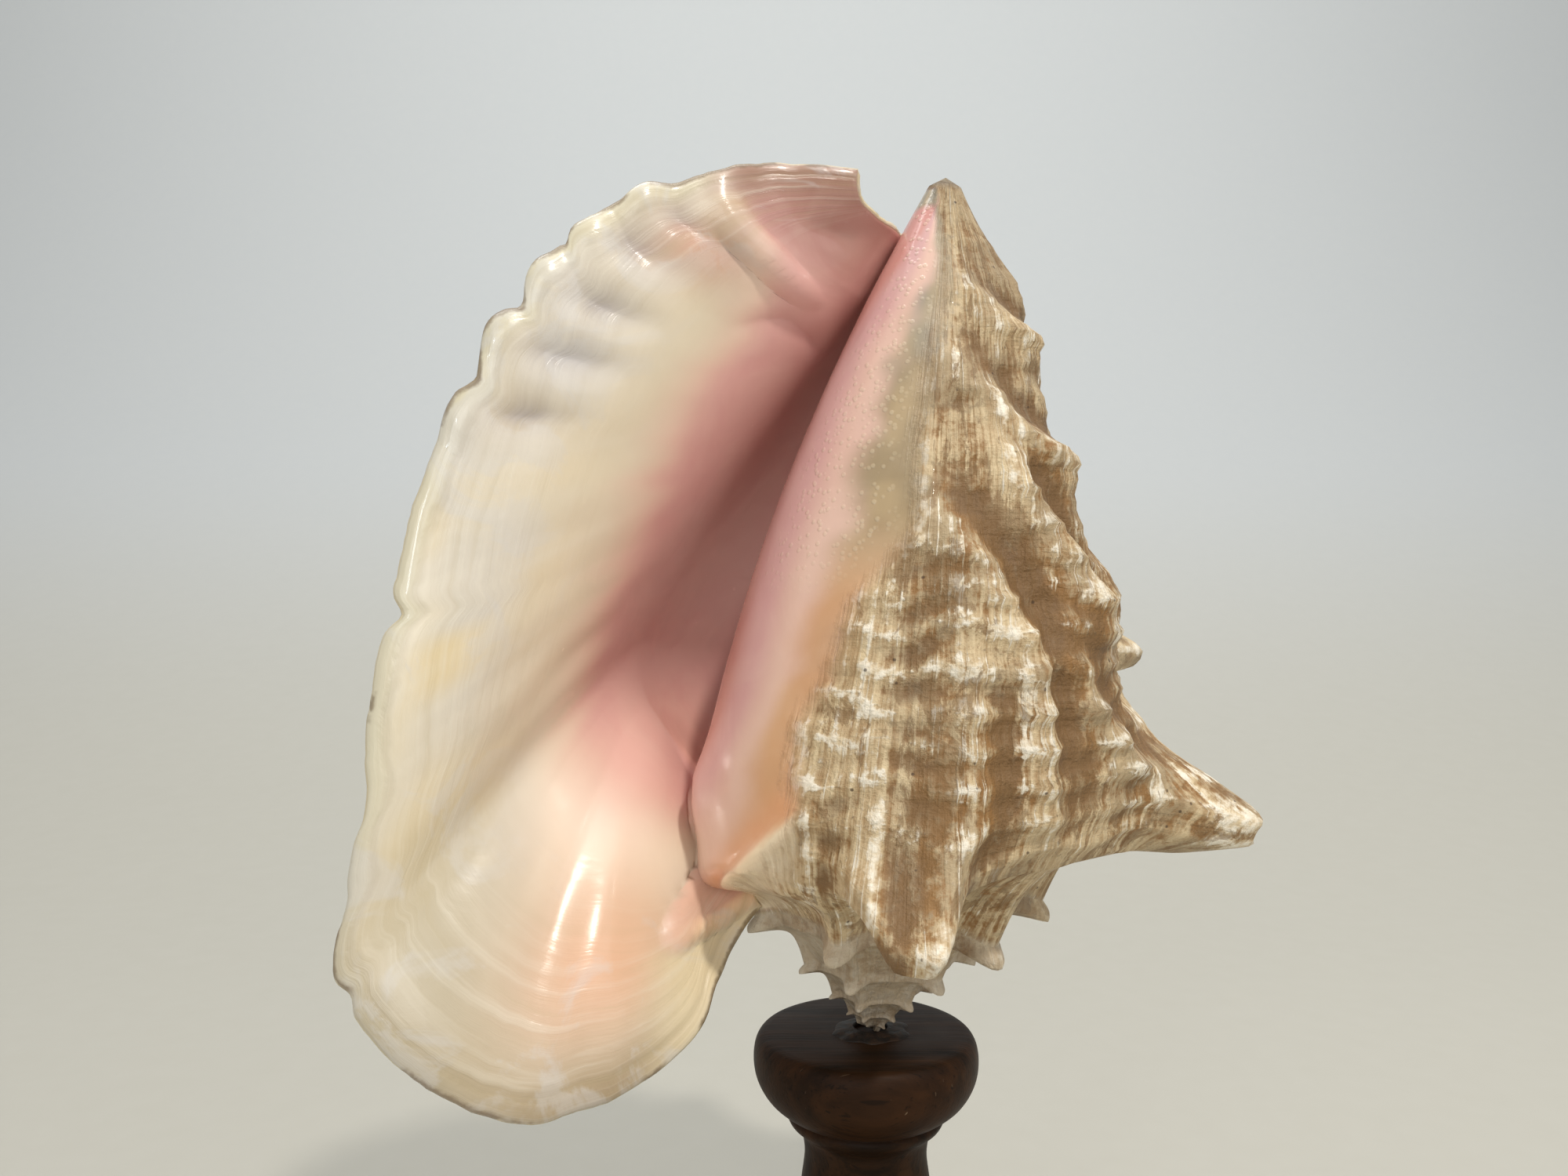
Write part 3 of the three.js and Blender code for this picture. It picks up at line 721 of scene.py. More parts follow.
def flowRidge(share, reach):  # 1 along the rounded lower edge of that callus
    return bell(reach, flowLow(share), callusFlow["ridgeHalf"]) * smoothStep(*callusFlow["ridgeEnd"], share)


def heelPoint(reach):
    # the heel's edge runs over the start of the last whorl, from its suture down to its ramp
    angle = blend(mouthAngle, lip["heelEnd"][0], reach)
    column = blend(sutureColumn, lip["heelEnd"][1] * coil["rampColumns"], reach)
    return whorl(angle, column)


def sweepPoint(column, reach):
    # one Hermite curve for each column, from the coiled wall to the rim
    column, reach = np.broadcast_arrays(np.asarray(column, float), np.asarray(reach, float))
    start = whorl(coil["lipAngle"], column, rough=False)
    end = curveAlong(lip["rim"], fanShare(column))
    pull = np.linalg.norm(end - start, axis=-1, keepdims=True)
    onward = unit(whorl(coil["lipAngle"] + 1, column, rough=False) - start)
    away = end - np.array([lip["focus"][0], 0, lip["focus"][1]])
    outward = unit(away * (1, 0, 1)) + np.array([0, lip["curl"], 0])
    leave = onward * np.minimum(lip["startPull"], pull)
    arrive = outward * np.minimum(lip["endPull"], pull)
    return hermite(start, end, leave, arrive, reach[..., None])


def heelShare(column):
    return smoothStep(lip["heelShare"], 0, fanShare(column))


def rimTrim(share):
    # millimetres cut from the rim: the chips, and a ragged edge of two sizes
    cut = sum(tall * valueNoise(share * along, share * 0 + row, seed) for tall, along, row, seed in rimGrain)
    for middle, depth, half in rimChips:
        cut = cut + depth * bell(share, middle, half)
    return cut


def sheetPoint(column, reach):
    # the sweep, trimmed at its rim and drawn in to the heel's edge beside the spire
    share = fanShare(column)
    trim = rimTrim(share) / lip["run"] * smoothStep(0.0, 0.05, share) * smoothStep(1, 0.98, share)
    drawn = heelPoint(reach) - sweepPoint(0.0, reach)
    return sweepPoint(column, reach - reach ** 3 * trim) + drawn * heelShare(column)[..., None]


def sheetLift(share, reach):
    # dimples and swellings, the siphon's fold and the hollow beside it, the crease and the callus on the lip;
    # + is towards the viewer
    total = 0.35 * valueNoise(share * 26, reach * 5, 8) * smoothStep(0.1, 0.5, reach)
    for middle, height, lift, wide, tall in sheetWaves:
        total = total + lift * bell(share, middle, wide) * bell(reach, height, tall)
    foldMiddle = np.interp(reach, siphonFold["reaches"], siphonFold["shares"])
    foldHeight = np.interp(reach, siphonFold["reaches"], siphonFold["lifts"])
    total = total + foldHeight * bell(share, foldMiddle, siphonFold["half"])
    hollow = bell(share, siphonFold["hollowShare"], siphonFold["hollowHalf"]) * smoothStep(0.1, 0.5, reach)
    total = total + siphonFold["hollow"] * hollow + throatCrease["lift"] * creaseShare(share, reach)
    total = total * smoothStep(0.0, 0.12, reach) * smoothStep(0, lip["heelShare"] * 0.6, share)
    flow = callusFlow["lift"] * flowShare(share, reach) + callusFlow["ridge"] * flowRidge(share, reach)
    return total + flow * smoothStep(0.02, 0.15, reach)


# Colours as seen on screen, the first of each under the others
bodyColours = {
    "callus": (206, 156, 112), "upper": (158, 138, 106), "waist": (196, 150, 112),
    "shoulder": (214, 190, 160), "tip": (150, 142, 126), "veil": (186, 162, 124),
    "strip": (222, 184, 168), "stripRose": (212, 166, 164), "behind": (206, 142, 134),
    # the bright ridge cream is partly a painted highlight along the canal's ridge
    # the deep rose is partly painted shade far inside the whorl
    "canal": (218, 152, 104), "ridgeSide": (228, 208, 176), "ridge": (246, 224, 190), "deep": (182, 110, 98),
}
mouthColours = {
    "ivory": (226, 213, 186), "lilac": (206, 202, 196), "yellow": (226, 204, 156), "streak": (234, 226, 208),
    # the grey of the dimples is partly painted shade, partly the shell's translucent grey
    "upperFlare": (224, 218, 208), "dimpleShadeAndGrey": (156, 148, 150), "rim": (214, 206, 180),
    # the pale lobe colour is painted light
    "lowFlare": (186, 175, 150), "lobePaintedLight": (248, 228, 208), "lobePeach": (230, 180, 146),
    "lobeRim": (162, 134, 98), "foldSide": (196, 146, 122), "blush": (232, 196, 176),
    # the dark pink by the siphon is painted shade
    "pink": (222, 170, 162), "lobePink": (240, 192, 178), "siphonShade": (168, 116, 106),
    # the light throat pink is painted light
    "siphonRim": (150, 110, 90), "throat": (220, 164, 156), "throatPaintedLight": (242, 204, 196),
    # the crease colour is painted shade
    # the flow ridge cream is partly a painted highlight along the callus edge
    "creaseShade": (176, 116, 110), "flow": (226, 184, 162), "flowRidge": (240, 206, 164),
    "below": (226, 208, 172), "rimEdge": (226, 208, 166),
}
throatColours = {
    # the deep rose is partly painted shade deeper into the throat
    # the light rose is painted light in the throat's shaded middle
    "rose": (220, 164, 156), "deep": (198, 130, 118), "paintedLight": (238, 198, 190), "low": (234, 178, 162),
}
# Where the rose of the throat ends: reaches at shares
roseEdge = {
    "shares": (0, 0.1, 0.2, 0.286, 0.388, 0.572, 0.74, 0.82, 0.88, 0.93, 1),
    "reaches": (0.1, 0.17, 0.26, 0.26, 0.28, 0.32, 0.31, 0.33, 0.42, 0.8, 1.0),
}


def bodyTone(angle, above):
    # callus beige, the pink columella strip, and rose deepening behind its edge, darker still far inside with
    # painted shade, and a painted highlight on the canal's ridge
    climb = above / wallLength(angle)
    edge = curveThrough(callus["edgeClimbs"], callus["edge"], climb)
    across = (angle - edge) / (callusBorder(climb) - edge)
    high = smoothStep(0.34, 0.5, climb)
    strip = smoothStep(0.78, 0.45, across + 0.1 * valueNoise(climb * 30, angle / 20, 14))
    ridge = canalDistance(angle, above)
    ending = smoothStep(*canalRidge["frontEnd"], angle) * smoothStep(*canalRidge["backEnd"], angle)
    return washed(bodyColours, np.broadcast(angle, above).shape, {
        "upper": high,
        "waist": bell(climb, 0.30, 0.06) * smoothStep(0.5, 1.0, across),
        "shoulder": smoothStep(0.1, -0.02, climb),
        "tip": smoothStep(0.62, 0.8, climb),
        "veil": 0.6 * high * cloud(0.3, 0.8, angle / 9, climb * 22, 15),
        "strip": strip,
        "stripRose": strip * smoothStep(0.5, 0.1, across) * smoothStep(0.0, 0.12, climb),
        "behind": smoothStep(0.05, -0.5, across),
        "canal": 0.8 * ending * bell(ridge, 6, 6),
        "ridgeSide": ending * smoothStep(2, -3, ridge),
        # the ridge's cream, with a painted highlight along its crest
        "ridge": ending * bell(ridge, 0, 1.8),
        # darker rose far inside, partly painted shade
        "deep": smoothStep(-190, -270, angle) * (1 - ending),
    })


def mouthTone(share, reach):
    # rose in the throat, ivory on the flare, darker pink as painted shade by the siphon, peach on the lower
    # lobe, cream at the rim
    edge = curveThrough(roseEdge["shares"], roseEdge["reaches"], share)
    edge = edge + 0.03 * valueNoise(share * 40, reach * 4, 21)
    lobe = bell(share, 0.17, 0.1)
    throat = smoothStep(0.2, 0.0, reach) * smoothStep(0.94, 0.88, share)
    plain = 1
    for middle, height, _, wide, tall in sheetWaves[:shadedDimples]:
        plain = plain * (1 - 0.75 * bell(share, middle, wide * 1.1) * bell(reach, height, tall))
    below = smoothStep(flowLow(share) + 0.01, flowLow(share) + 0.06, reach)
    return washed(mouthColours, np.broadcast(share, reach).shape, {
        "lilac": 0.6 * cloud(0.3, 0.9, share * 14, reach * 4 + 9, 22) * smoothStep(0.35, 0.6, reach),
        "yellow": 0.8 * cloud(0.4, 0.9, share * 22 + 5, reach * 5, 23) * smoothStep(0.4, 0.8, reach),
        "streak": 0.2 * cloud(0.4, 0.9, share * 90 + reach * 9, reach * 3, 24) * smoothStep(0.4, 0.6, reach),
        "upperFlare": 0.5 * bell(share, 0.75, 0.13) * smoothStep(0.5, 0.75, reach),
        # painted shade in the dimples, with the shell's translucent grey
        "dimpleShadeAndGrey": 1 - plain,
        "rim": smoothStep(0.9, 0.97, reach) * smoothStep(0.95, 0.88, share),
        "lowFlare": 0.8 * smoothStep(0.45, 0.3, share) * smoothStep(0.4, 0.65, reach),
        # painted light: a pale pool on the lobe where it faces the light
        "lobePaintedLight": bell(share, 0.2, 0.09) * bell(reach, 0.42, 0.14),
        "lobePeach": 0.9 * bell(share, 0.15, 0.07) * bell(reach, 0.66, 0.18),
        "lobeRim": 0.7 * bell(share, 0.13, 0.12) * smoothStep(0.78, 0.97, reach),
        "foldSide": 0.9 * bell(share, 0.865, 0.035) * bell(reach, 0.64, 0.2),
        "blush": smoothStep(edge + 0.2, edge, reach),
        "pink": smoothStep(edge + 0.09, edge - 0.04, reach),
        "lobePink": lobe * smoothStep(0.45, 0.2, reach),
        # painted shade: darker pink by the siphon notch
        "siphonShade": 0.8 * smoothStep(0.88, 0.93, share) * smoothStep(0.05, 0.25, reach),
        "siphonRim": smoothStep(0.9, 0.93, share) * smoothStep(0.66, 0.97, reach),
        "throat": throat * (1 - 0.8 * lobe),
        # painted light lifting the shaded middle of the throat
        "throatPaintedLight": 0.8 * bell(share, 0.48, 0.13) * smoothStep(0.32, 0.05, reach),
        # painted shade along the throat's crease
        "creaseShade": 0.4 * creaseShare(share, reach),
        "flow": flowShare(share, reach),
        # the callus edge's cream, with a painted highlight along it
        "flowRidge": 0.8 * flowRidge(share, reach),
        "below": below * smoothStep(0.13, 0.08, share),
    })


def throatTone(angle, column):
    share, along = smoothStep(coil["lipAngle"], 70, angle) + 0 * column, fanShare(column)
    return washed(throatColours, share.shape, {
        # darker rose further into the throat, partly painted shade
        "deep": share,
        # painted light lifting the shaded middle of the throat's back wall
        "paintedLight": 0.8 * bell(along, 0.48, 0.15) * (1 - share),
        "low": smoothStep(0.32, 0.1, along) * (1 - share),
    })


def boxBlur(values, half, axis):  # the mean over a window of 2 half + 1 along one axis
    padded = np.concatenate([np.repeat(values.take([0], axis), half + 1, axis), values,
                             np.repeat(values.take([-1], axis), half, axis)], axis)
    sums = np.cumsum(padded, axis)
    width = 2 * half + 1
    count = values.shape[axis]
    return (sums.take(range(width, width + count), axis) - sums.take(range(count), axis)) / width


# Stains (+) and cleaner places (-) of the crust: strength, angle, climb and half widths of both
stainSpots = [
    (1.0, -80, 0.12, 14, 0.08), (0.6, -52, 0.33, 12, 0.2), (0.7, -82, 0.42, 11, 0.1),
    (-0.8, -106, 0.18, 14, 0.12),
]


def bodyMasks(angle, above):
    climb = above / wallLength(angle)
    glaze = glazeAt(angle, above)
    besideCanal = smoothStep(2, -4, canalDistance(angle, above)) * smoothStep(*canalRidge["frontEnd"], angle)
    glaze = glaze * (1 - 0.35 * besideCanal * (angle > mouthAngle))
    cord = cordWave(angle, above) * smoothStep(0.02, 0.08, climb) * smoothStep(0.55, 0.4, climb)
    # crest falls below 0 in recesses, which the finish darkens as painted shade, and rises above 0 on crests,
    # which it paints worn
    lift = fineLift(angle, above) + 0.5 * knobLift(angle, above)
    level = boxBlur(boxBlur(lift, crust["crestRows"], 0), crust["crestColumns"], 1)
    crest = np.clip((lift - level) / crust["crestHeight"], -1, 1)
    # the blunt spines' worn white ends, and painted light on the ramp under the shoulder
    wearAndPaintedLight = np.zeros(np.broadcast(angle, above).shape)
    for spine in spines[:spineShape["bluntOnes"]]:
        wearAndPaintedLight = np.maximum(wearAndPaintedLight, smoothStep(0.45, 0.95, spineShare(angle, above, spine)))
    # painted light: the ramp just under the shoulder, which lies in shade, made paler
    wearAndPaintedLight = np.maximum(wearAndPaintedLight, 0.9 * bell(angle, -130, 32) * bell(above, -12, 16))
    inwards = angle - callusBorder(climb)
    dots = smoothStep(*callus["dotStart"], inwards) * smoothStep(*callus["dotEnd"], inwards)
    dots = dots * glaze * smoothStep(*callus["dotClimb"], climb)
    spire = smoothStep(*coil["spireSpan"][::-1], angle) * (1 - glaze)
    stain = sum(strength * bell(angle, middle, wide) * bell(climb, height, tall)
                for strength, middle, height, wide, tall in stainSpots)
    return dict(zip(Skin.masks, (glaze, cord, crest, wearAndPaintedLight, spire, stain, dots)))


def shellToWorld(points):
    # leaned to the right about Y, then set down on the knob
    lean = math.radians(coil["lean"])
    x, y, z = points.T
    cosine, sine = math.cos(lean), math.sin(lean)
    turned = np.stack([x * cosine + z * sine, y, z * cosine - x * sine], -1)
    return (turned + (coil["apexOffset"], 0, knobTop - coil["apexSink"])) / metre


def wallThickness(angle, column):
    climb = climbOf(angle, column)
    space = coil["shoulderRadius"] * (growth(angle) - growth(angle - turn)) * (1 - climb ** taperPower(angle))
    thin = np.minimum(coil["wall"], coil["cavityFill"] * space)
    return np.where(column <= sutureColumn, coil["wall"], thin)


def outwardOf(points):
    # the normal of a grid of points, from its central differences along growth and across the columns
    return unit(np.cross(np.gradient(points, axis=0), np.gradient(points, axis=1)))


def makeShell():
    skin = Skin()
    step = coil["angleStep"]
    angles = np.arange(coil["apexAngle"], coil["lipAngle"] + step / 2, step)[:, None]
    column = np.arange(columns + 1, dtype=float)[None, :]
    above = aboveOf(angles, column)
    atAngles, atAbove = gathered(angles, above)
    outer = whorlPoint(atAngles, atAbove)
    run = stacked(growthRun * growth(atAngles), atAbove)
    outerIds = skin.grid(outer, run, bodyTone(atAngles, atAbove), **bodyMasks(atAngles, atAbove))

    def rowOf(angle):
        return int(round((angle - coil["apexAngle"]) / step))

    deep, mouth = rowOf(coil["cavityAngle"] - turn), rowOf(mouthAngle)
    cavity, last = rowOf(coil["cavityAngle"]), rowOf(coil["lipAngle"])
    skin.quads(outerIds[:deep + 1, :sutureColumn + 1])
    skin.quads(outerIds[deep:mouth + 1, :sutureColumn + 1])
    skin.quads(outerIds[deep:mouth + 1, seatColumn:])
    skin.quads(outerIds[mouth:])

    # apex and siphon tip, closed with fans
    apexHeight = sutureAt(np.array(coil["apexAngle"]))[1]
    middle = np.array([[0, 0, apexHeight], [0, 0, coil["length"] + coil["tipCrown"]]])
    ends = skin.grid(middle, spire=np.array([1.0, 0.0]))
    oneTurn = rowOf(coil["apexAngle"] + turn)
    inner, firstRow = outerIds[:oneTurn + 1, 0], outerIds[0, :sutureColumn + 1]
    skin.polygons(np.stack([inner[1:], inner[:-1], np.full(oneTurn, ends[0])], -1))
    skin.polygons(np.stack([firstRow[:-1], firstRow[1:], np.full(sutureColumn, ends[0])], -1))
    tip = outerIds[deep:cavity + 1, columns]
    skin.polygons(np.stack([tip[:-1], tip[1:], np.full(cavity - deep, ends[1])], -1))

    # the lip's sheet, three columns for each of the coil's
    fine = np.arange(columns * lip["fineness"] + 1, dtype=float)[None, :] / lip["fineness"]
    reach = np.linspace(0, 1, lip["rows"] + 1)[:, None]
    share = fanShare(fine)
    sheet = np.concatenate([whorl(coil["lipAngle"] - step, fine, rough=False), sheetPoint(fine, reach)])
    normal = outwardOf(sheet)
    sheet[1:] -= normal[1:] * sheetLift(share, reach)[..., None]
    normal = outwardOf(sheet)[1:]
    sheet = sheet[1:]
    lipAbove = aboveOf(coil["lipAngle"], fine)
    ribbing = cordLift(coil["lipAngle"], lipAbove) + foldLift(coil["lipAngle"], lipAbove)
    grain = sum(tall * valueNoise(share * along, reach * out, seed) for tall, along, out, seed in lipGrain)
    skinLift = ribbing * (1 - 0.6 * reach) + grain
    skinLift = skinLift * smoothStep(1.0, 0.9, reach) * (1 - heelShare(fine))
    lipOuter = sheet + normal * skinLift[..., None]
    thick = blend(wallThickness(coil["lipAngle"], fine), lip["thickness"], smoothStep(0, 1, reach))
    thick = blend(thick, lip["heelThickness"], heelShare(fine))
    lipInner = sheet - normal * thick[..., None]
    lipRun = stacked(growthRun + reach * lip["run"], lipAbove)
    cord = cordWave(coil["lipAngle"], lipAbove) * (1 - 0.4 * reach)
    lipOuterIds = skin.grid(lipOuter[1:], lipRun[1:], cord=cord[1:], rim=reach[1:])
    tone = mouthTone(share, reach)
    lipInnerIds = skin.grid(lipInner[1:], lipRun[1:], tone[1:], glaze=1.0, rim=reach[1:])

    # the inner face of the coiled wall behind the mouth
    wallAngles = angles[cavity:]
    plain = whorlPoint(wallAngles, aboveOf(wallAngles, column), rough=False)
    onward = np.concatenate([plain, sheet[1:3, ::lip["fineness"]]])
    inward = outwardOf(onward)[:len(plain)]
    inside = plain - inward * wallThickness(wallAngles, column)[..., None]
    inside[:, 0] = whorl(wallAngles[:, 0] - turn, float(seatColumn))
    insideRun = stacked(growthRun * growth(wallAngles), aboveOf(wallAngles, column))
    insideIds = skin.grid(inside, insideRun, throatTone(wallAngles, column), glaze=1.0)
    skin.quads(insideIds, flip=True)

    # six-cornered faces lead from the coil's columns to the lip's finer ones
    def stitch(coarse, fineRow, flip=False):
        parts = [coarse[:-1], *[fineRow[k::lip["fineness"]][:columns] for k in range(lip["fineness"])]]
        corners = np.stack([*parts, fineRow[lip["fineness"]::lip["fineness"]], coarse[1:]], -1)
        skin.polygons(corners[:, ::-1] if flip else corners)

    stitch(outerIds[last], lipOuterIds[0])
    stitch(insideIds[-1], lipInnerIds[0], flip=True)
    skin.quads(lipOuterIds)
    skin.quads(lipInnerIds, flip=True)

    # the rounded rim: along the heel, round the lip's edge, down the siphon notch and back to the tip
    def stations(outerLine, innerLine, inwards):
        return outerLine, innerLine, unit(outerLine - inwards)

    heel = stations(lipOuter[:, 0], lipInner[:, 0], lipOuter[:, 1])
    edge = stations(lipOuter[-1], lipInner[-1], lipOuter[-2])
    notch = stations(lipOuter[::-1, -1], lipInner[::-1, -1], lipOuter[::-1, -2])
    back = stations(outer[last:cavity - 1:-1, -1], inside[::-1, -1], outer[last:cavity - 1:-1, -2])
    outerLine, innerLine, away = (
        np.concatenate([heel[k][:-1], edge[k], notch[k][1:-1], back[k]]) for k in range(3))
    outerEnds = np.concatenate([
        [outerIds[last, 0]], lipOuterIds[:-1, 0], lipOuterIds[-1], lipOuterIds[-2::-1, -1],
        outerIds[last:cavity - 1:-1, -1]])
    innerEnds = np.concatenate([
        [insideIds[-1, 0]], lipInnerIds[:-1, 0], lipInnerIds[-1], lipInnerIds[-2::-1, -1],
        insideIds[::-1, -1]])
    rounds = lip["rimRounds"]
    t = (np.arange(1, rounds) / rounds)[None, :, None]
    gap = np.linalg.norm(innerLine - outerLine, axis=-1)[:, None, None]
    bulge = away[:, None] * gap * 0.5 * np.sin(np.pi * t)
    rounded = blend(outerLine[:, None], innerLine[:, None], t) + bulge
    rounded[0] = outer[mouth, sutureColumn + 1:seatColumn]
    rimAlong = np.linspace(0, lip["rimLength"], len(rounded))[:, None]
    rimRun = stacked(growthRun + lip["run"] + 0 * t[..., 0], rimAlong)
    rimGlaze = np.linspace(0.4, 1, rounds - 1)[None, :]
    roundIds = skin.grid(rounded, rimRun, ink(*mouthColours["rimEdge"]), glaze=rimGlaze, rim=1.0)
    band = np.concatenate([outerEnds[:, None], roundIds, innerEnds[:, None]], 1)
    skin.quads(band, flip=True)

    # the end of the hollow: a strip to the whorl inside it, and one face across its foot
    past, near = outerIds[deep, seatColumn:], insideIds[0, seatColumn:]
    skin.polygons(np.stack([past[:-1], past[1:], near[1:], near[:-1]], -1))
    skin.polygons(insideIds[0, :seatColumn + 1][::-1][None, :])
    return skin.mesh("conchShell", shellToWorld)


# Colours of the crust, of the spire, of bare worn shell and over the painted tones of the glaze; hollow is
# painted shade in the recesses
crustColours = {
    "tan": (168, 138, 98), "cream": (218, 197, 158), "patch": (148, 127, 96), "ochre": (140, 98, 46),
    "hollow": (110, 86, 58), "dirt": (104, 76, 48), "skin": (122, 90, 50), "speck": (62, 42, 26),
}
spireColours = {
    "brown": (128, 106, 82), "patch": (184, 166, 140), "mottle": (196, 186, 168), "hollow": (84, 66, 46),
    "crest": (208, 196, 174),
}
wornColours = {"cream": (212, 190, 152), "white": (240, 231, 212)}
glazeColours = {
    "cloud": (255, 240, 214), "paleBand": (240, 232, 214), "darkBand": (186, 168, 128),
    "pearl": (214, 212, 210), "line": (150, 130, 96), "flake": (112, 86, 54), "dot": (214, 198, 168),
}
shellBump = {"depth": 0.0011, "strength": 0.8}
shellCoat = {"weight": 0.35, "roughness": 0.06}


def shellFinish():
    finish = Finish("conchShellFinish")
    place, growthMap = finish.place(), finish.uv("growth")
    glaze, cord, crest, wearAndPaintedLight, spire, stained, dots, rim = (finish.mask(name) for name in Skin.masks)

    # noises drawn out along the growth lines, along the spiral, and in all directions
    growthLines = finish.noise(growthMap, (0.55, 0.03, 0), 5.0, 0.65, 0.3)
    hairLines = finish.noise(growthMap, (1.1, 0.02, 0), 3.0, 0.6, 0.2)
    streaks = finish.noise(growthMap, (0.16, 0.022, 0), 3.0, 0.55, 0.3)
    bars = finish.noise(growthMap, (0.09, 0.2, 0), 3.0, 0.6, 0.3)
    spiralLines = finish.noise(growthMap, (0.03, 0.6, 0), 4.0, 0.6, 0.4)
    remains = finish.noise(growthMap, (0.13, 0.07, 0), 7.0, 0.68, 0.7)
    bands = finish.noise(growthMap, (0.2, 0.02, 0), 5.0, 0.6, 0.8)
    wide = finish.noise(place, (17.0, 17.0, 10.2), 3.0, 0.55, 0.6)
    rust = finish.noise(place, (30.0, 30.0, 21.0), 5.0, 0.65, 0.8)
    patches = finish.noise(place, 38.0, 4.0, 0.6, 0.5)
    pearl = finish.noise(place, 42.0, 5.0, 0.6, 0.9)
    clouds = finish.noise(place, 60.0, 3.0, 0.5, 0.6)
    rough = finish.noise(place, 140.0, 3.0)
    blotch = finish.noise(place, 150.0, 4.0, 0.65, 0.5)
    mottle = finish.noise(place, 330.0, 4.0, 0.65)
    grit = finish.noise(place, 900.0, 2.0, 0.6)
    flecks = (mottle - 0.5) * 0.7 + (growthLines - 0.5) * 0.6 + (blotch - 0.5) * 0.7

    # the weathered spire: grey brown, darkened in its hollows with painted shade, and pale on its knobs
    # painted shade in the recesses, broken up by random flecks
    hollow = finish.rise(crest * -0.8 - flecks * 0.9, 0.1, 0.9)
    spireColour = finish.layers(spireColours, {
        "patch": finish.rise(patches, 0.35, 0.65),
        "mottle": finish.rise(mottle, 0.4, 0.7) * 0.6,
        # painted shade in the spire's recesses
        "hollow": hollow * 0.75,
        "crest": finish.rise(crest + flecks * 0.6, 0.2, 0.8) * 0.7,
    })

    # beige crust, grey dirt and ochre stains a little more in the hollows, which painted shade darkens
    # further, white where crests and growth ridges are worn
    stain = rust * 0.5 + wide * 0.4 - flecks * 0.7 - crest * 0.1 + stained * 0.16
    ladder = cord * finish.rise(bars + flecks * 0.3, 0.42, 0.62) * 0.6
    ladder = ladder + finish.rise(streaks + flecks * 0.2, 0.5, 0.64) * 0.45
    hairs = finish.rise(hairLines, 0.56, 0.66) * (1 - finish.rise(crest * -1.0, 0.1, 0.7)) * 0.5
    # the worn mask carries the worn spine ends and painted light on the ramp under the shoulder
    bare = ladder + hairs + crest * 0.4 + flecks * 1.0 + (wide - 0.5) * -0.7 + wearAndPaintedLight * 0.45 - stained * 0.35
    bareColour = finish.layers(wornColours, {"white": finish.rise(mottle, 0.32, 0.62)})
    speckCell = finish.node("ShaderNodeSeparateColor", {}, {0: finish.cells(place, 300.0, "Color")})
    speck = (1 - finish.rise(finish.cells(place, 300.0), 0.08, 0.17)) * finish.rise(speckCell, 0.82, 0.86)
    crustColour = finish.layers({**crustColours, "bare": bareColour, "spire": spireColour}, {
        "cream": finish.rise(growthLines + (mottle - 0.5) * 0.5, 0.32, 0.68),
        "patch": finish.rise(patches + flecks * 0.2, 0.46, 0.62) * 0.6,
        "ochre": finish.rise(stain, 0.45, 0.62) * 0.85,
        # painted shade in the crust's recesses
        "hollow": hollow * 0.7,
        "dirt": finish.rise(mottle - crest * 0.06, 0.55, 0.72) * 0.5,
        "bare": finish.rise(bare, 0.4, 0.85),
        "skin": finish.rise(remains - crest * 0.05 - wearAndPaintedLight * 0.06 + stained * 0.05, 0.52, 0.57) * 0.6,
        "spire": spire * 0.85,
        "speck": speck * 0.75,
    })

    # the glaze: painted tones, soft clouds, bands and a thin line near the rim, pale dots in the callus
    flare = finish.rise(rim, 0.4, 0.8)
    margin = rim + (pearl - 0.5) * 0.08
    line = finish.rise(margin, 0.9, 0.925) * (1 - finish.rise(margin, 0.93, 0.955))
    flakes = finish.rise(rim + (mottle - 0.5) * 0.03, 0.98, 1.0) * finish.rise(patches, 0.5, 0.58)
    dotMask = (1 - finish.rise(finish.cells(place, 520.0), 0.18, 0.42)) * dots
    glazeColour = finish.layers({"painted": finish.painted("tone"), **glazeColours}, {
        "cloud": finish.rise(clouds, 0.3, 0.7) * 0.08,
        "paleBand": finish.rise(bands, 0.48, 0.7) * flare * 0.25,
        "darkBand": (1 - finish.rise(bands, 0.3, 0.5)) * flare * 0.22,
        "pearl": finish.rise(pearl, 0.52, 0.62) * flare * 0.35,
        "line": line * 0.16,
        "flake": flakes * 0.7,
        "dot": dotMask * 0.3,
    })

    # crust and glaze meet along a ragged edge, each with its own roughness and bumps
    glazed = finish.rise(glaze + (mottle - 0.5) * 0.4 + (growthLines - 0.5) * 0.5, 0.2, 0.85)
    colour = finish.layers({"crust": crustColour, "glaze": glazeColour}, {"glaze": glazed})
    roughness = (0.2 + rough * 0.1) * glazed + (0.5 + mottle * 0.25) * (1 - glazed)
    crustHeight = growthLines * 0.5 + spiralLines * 0.4 + (mottle + blotch) * 0.6 + grit * 0.2 + bare * 0.3
    flareHeight = bands * 0.3 + line * -0.12 + pearl * 0.3
    glazeHeight = clouds * 0.3 + dotMask * 0.12 + flareHeight * flare
    height = crustHeight * (1 - glazed) + glazeHeight * glazed
    finish.surface(Base_Color=colour, Roughness=roughness, IOR=1.5,
                   Normal=finish.bump(height, shellBump["depth"], shellBump["strength"]),
                   Coat_Weight=glazed * shellCoat["weight"], Coat_Roughness=shellCoat["roughness"])
    return finish.material


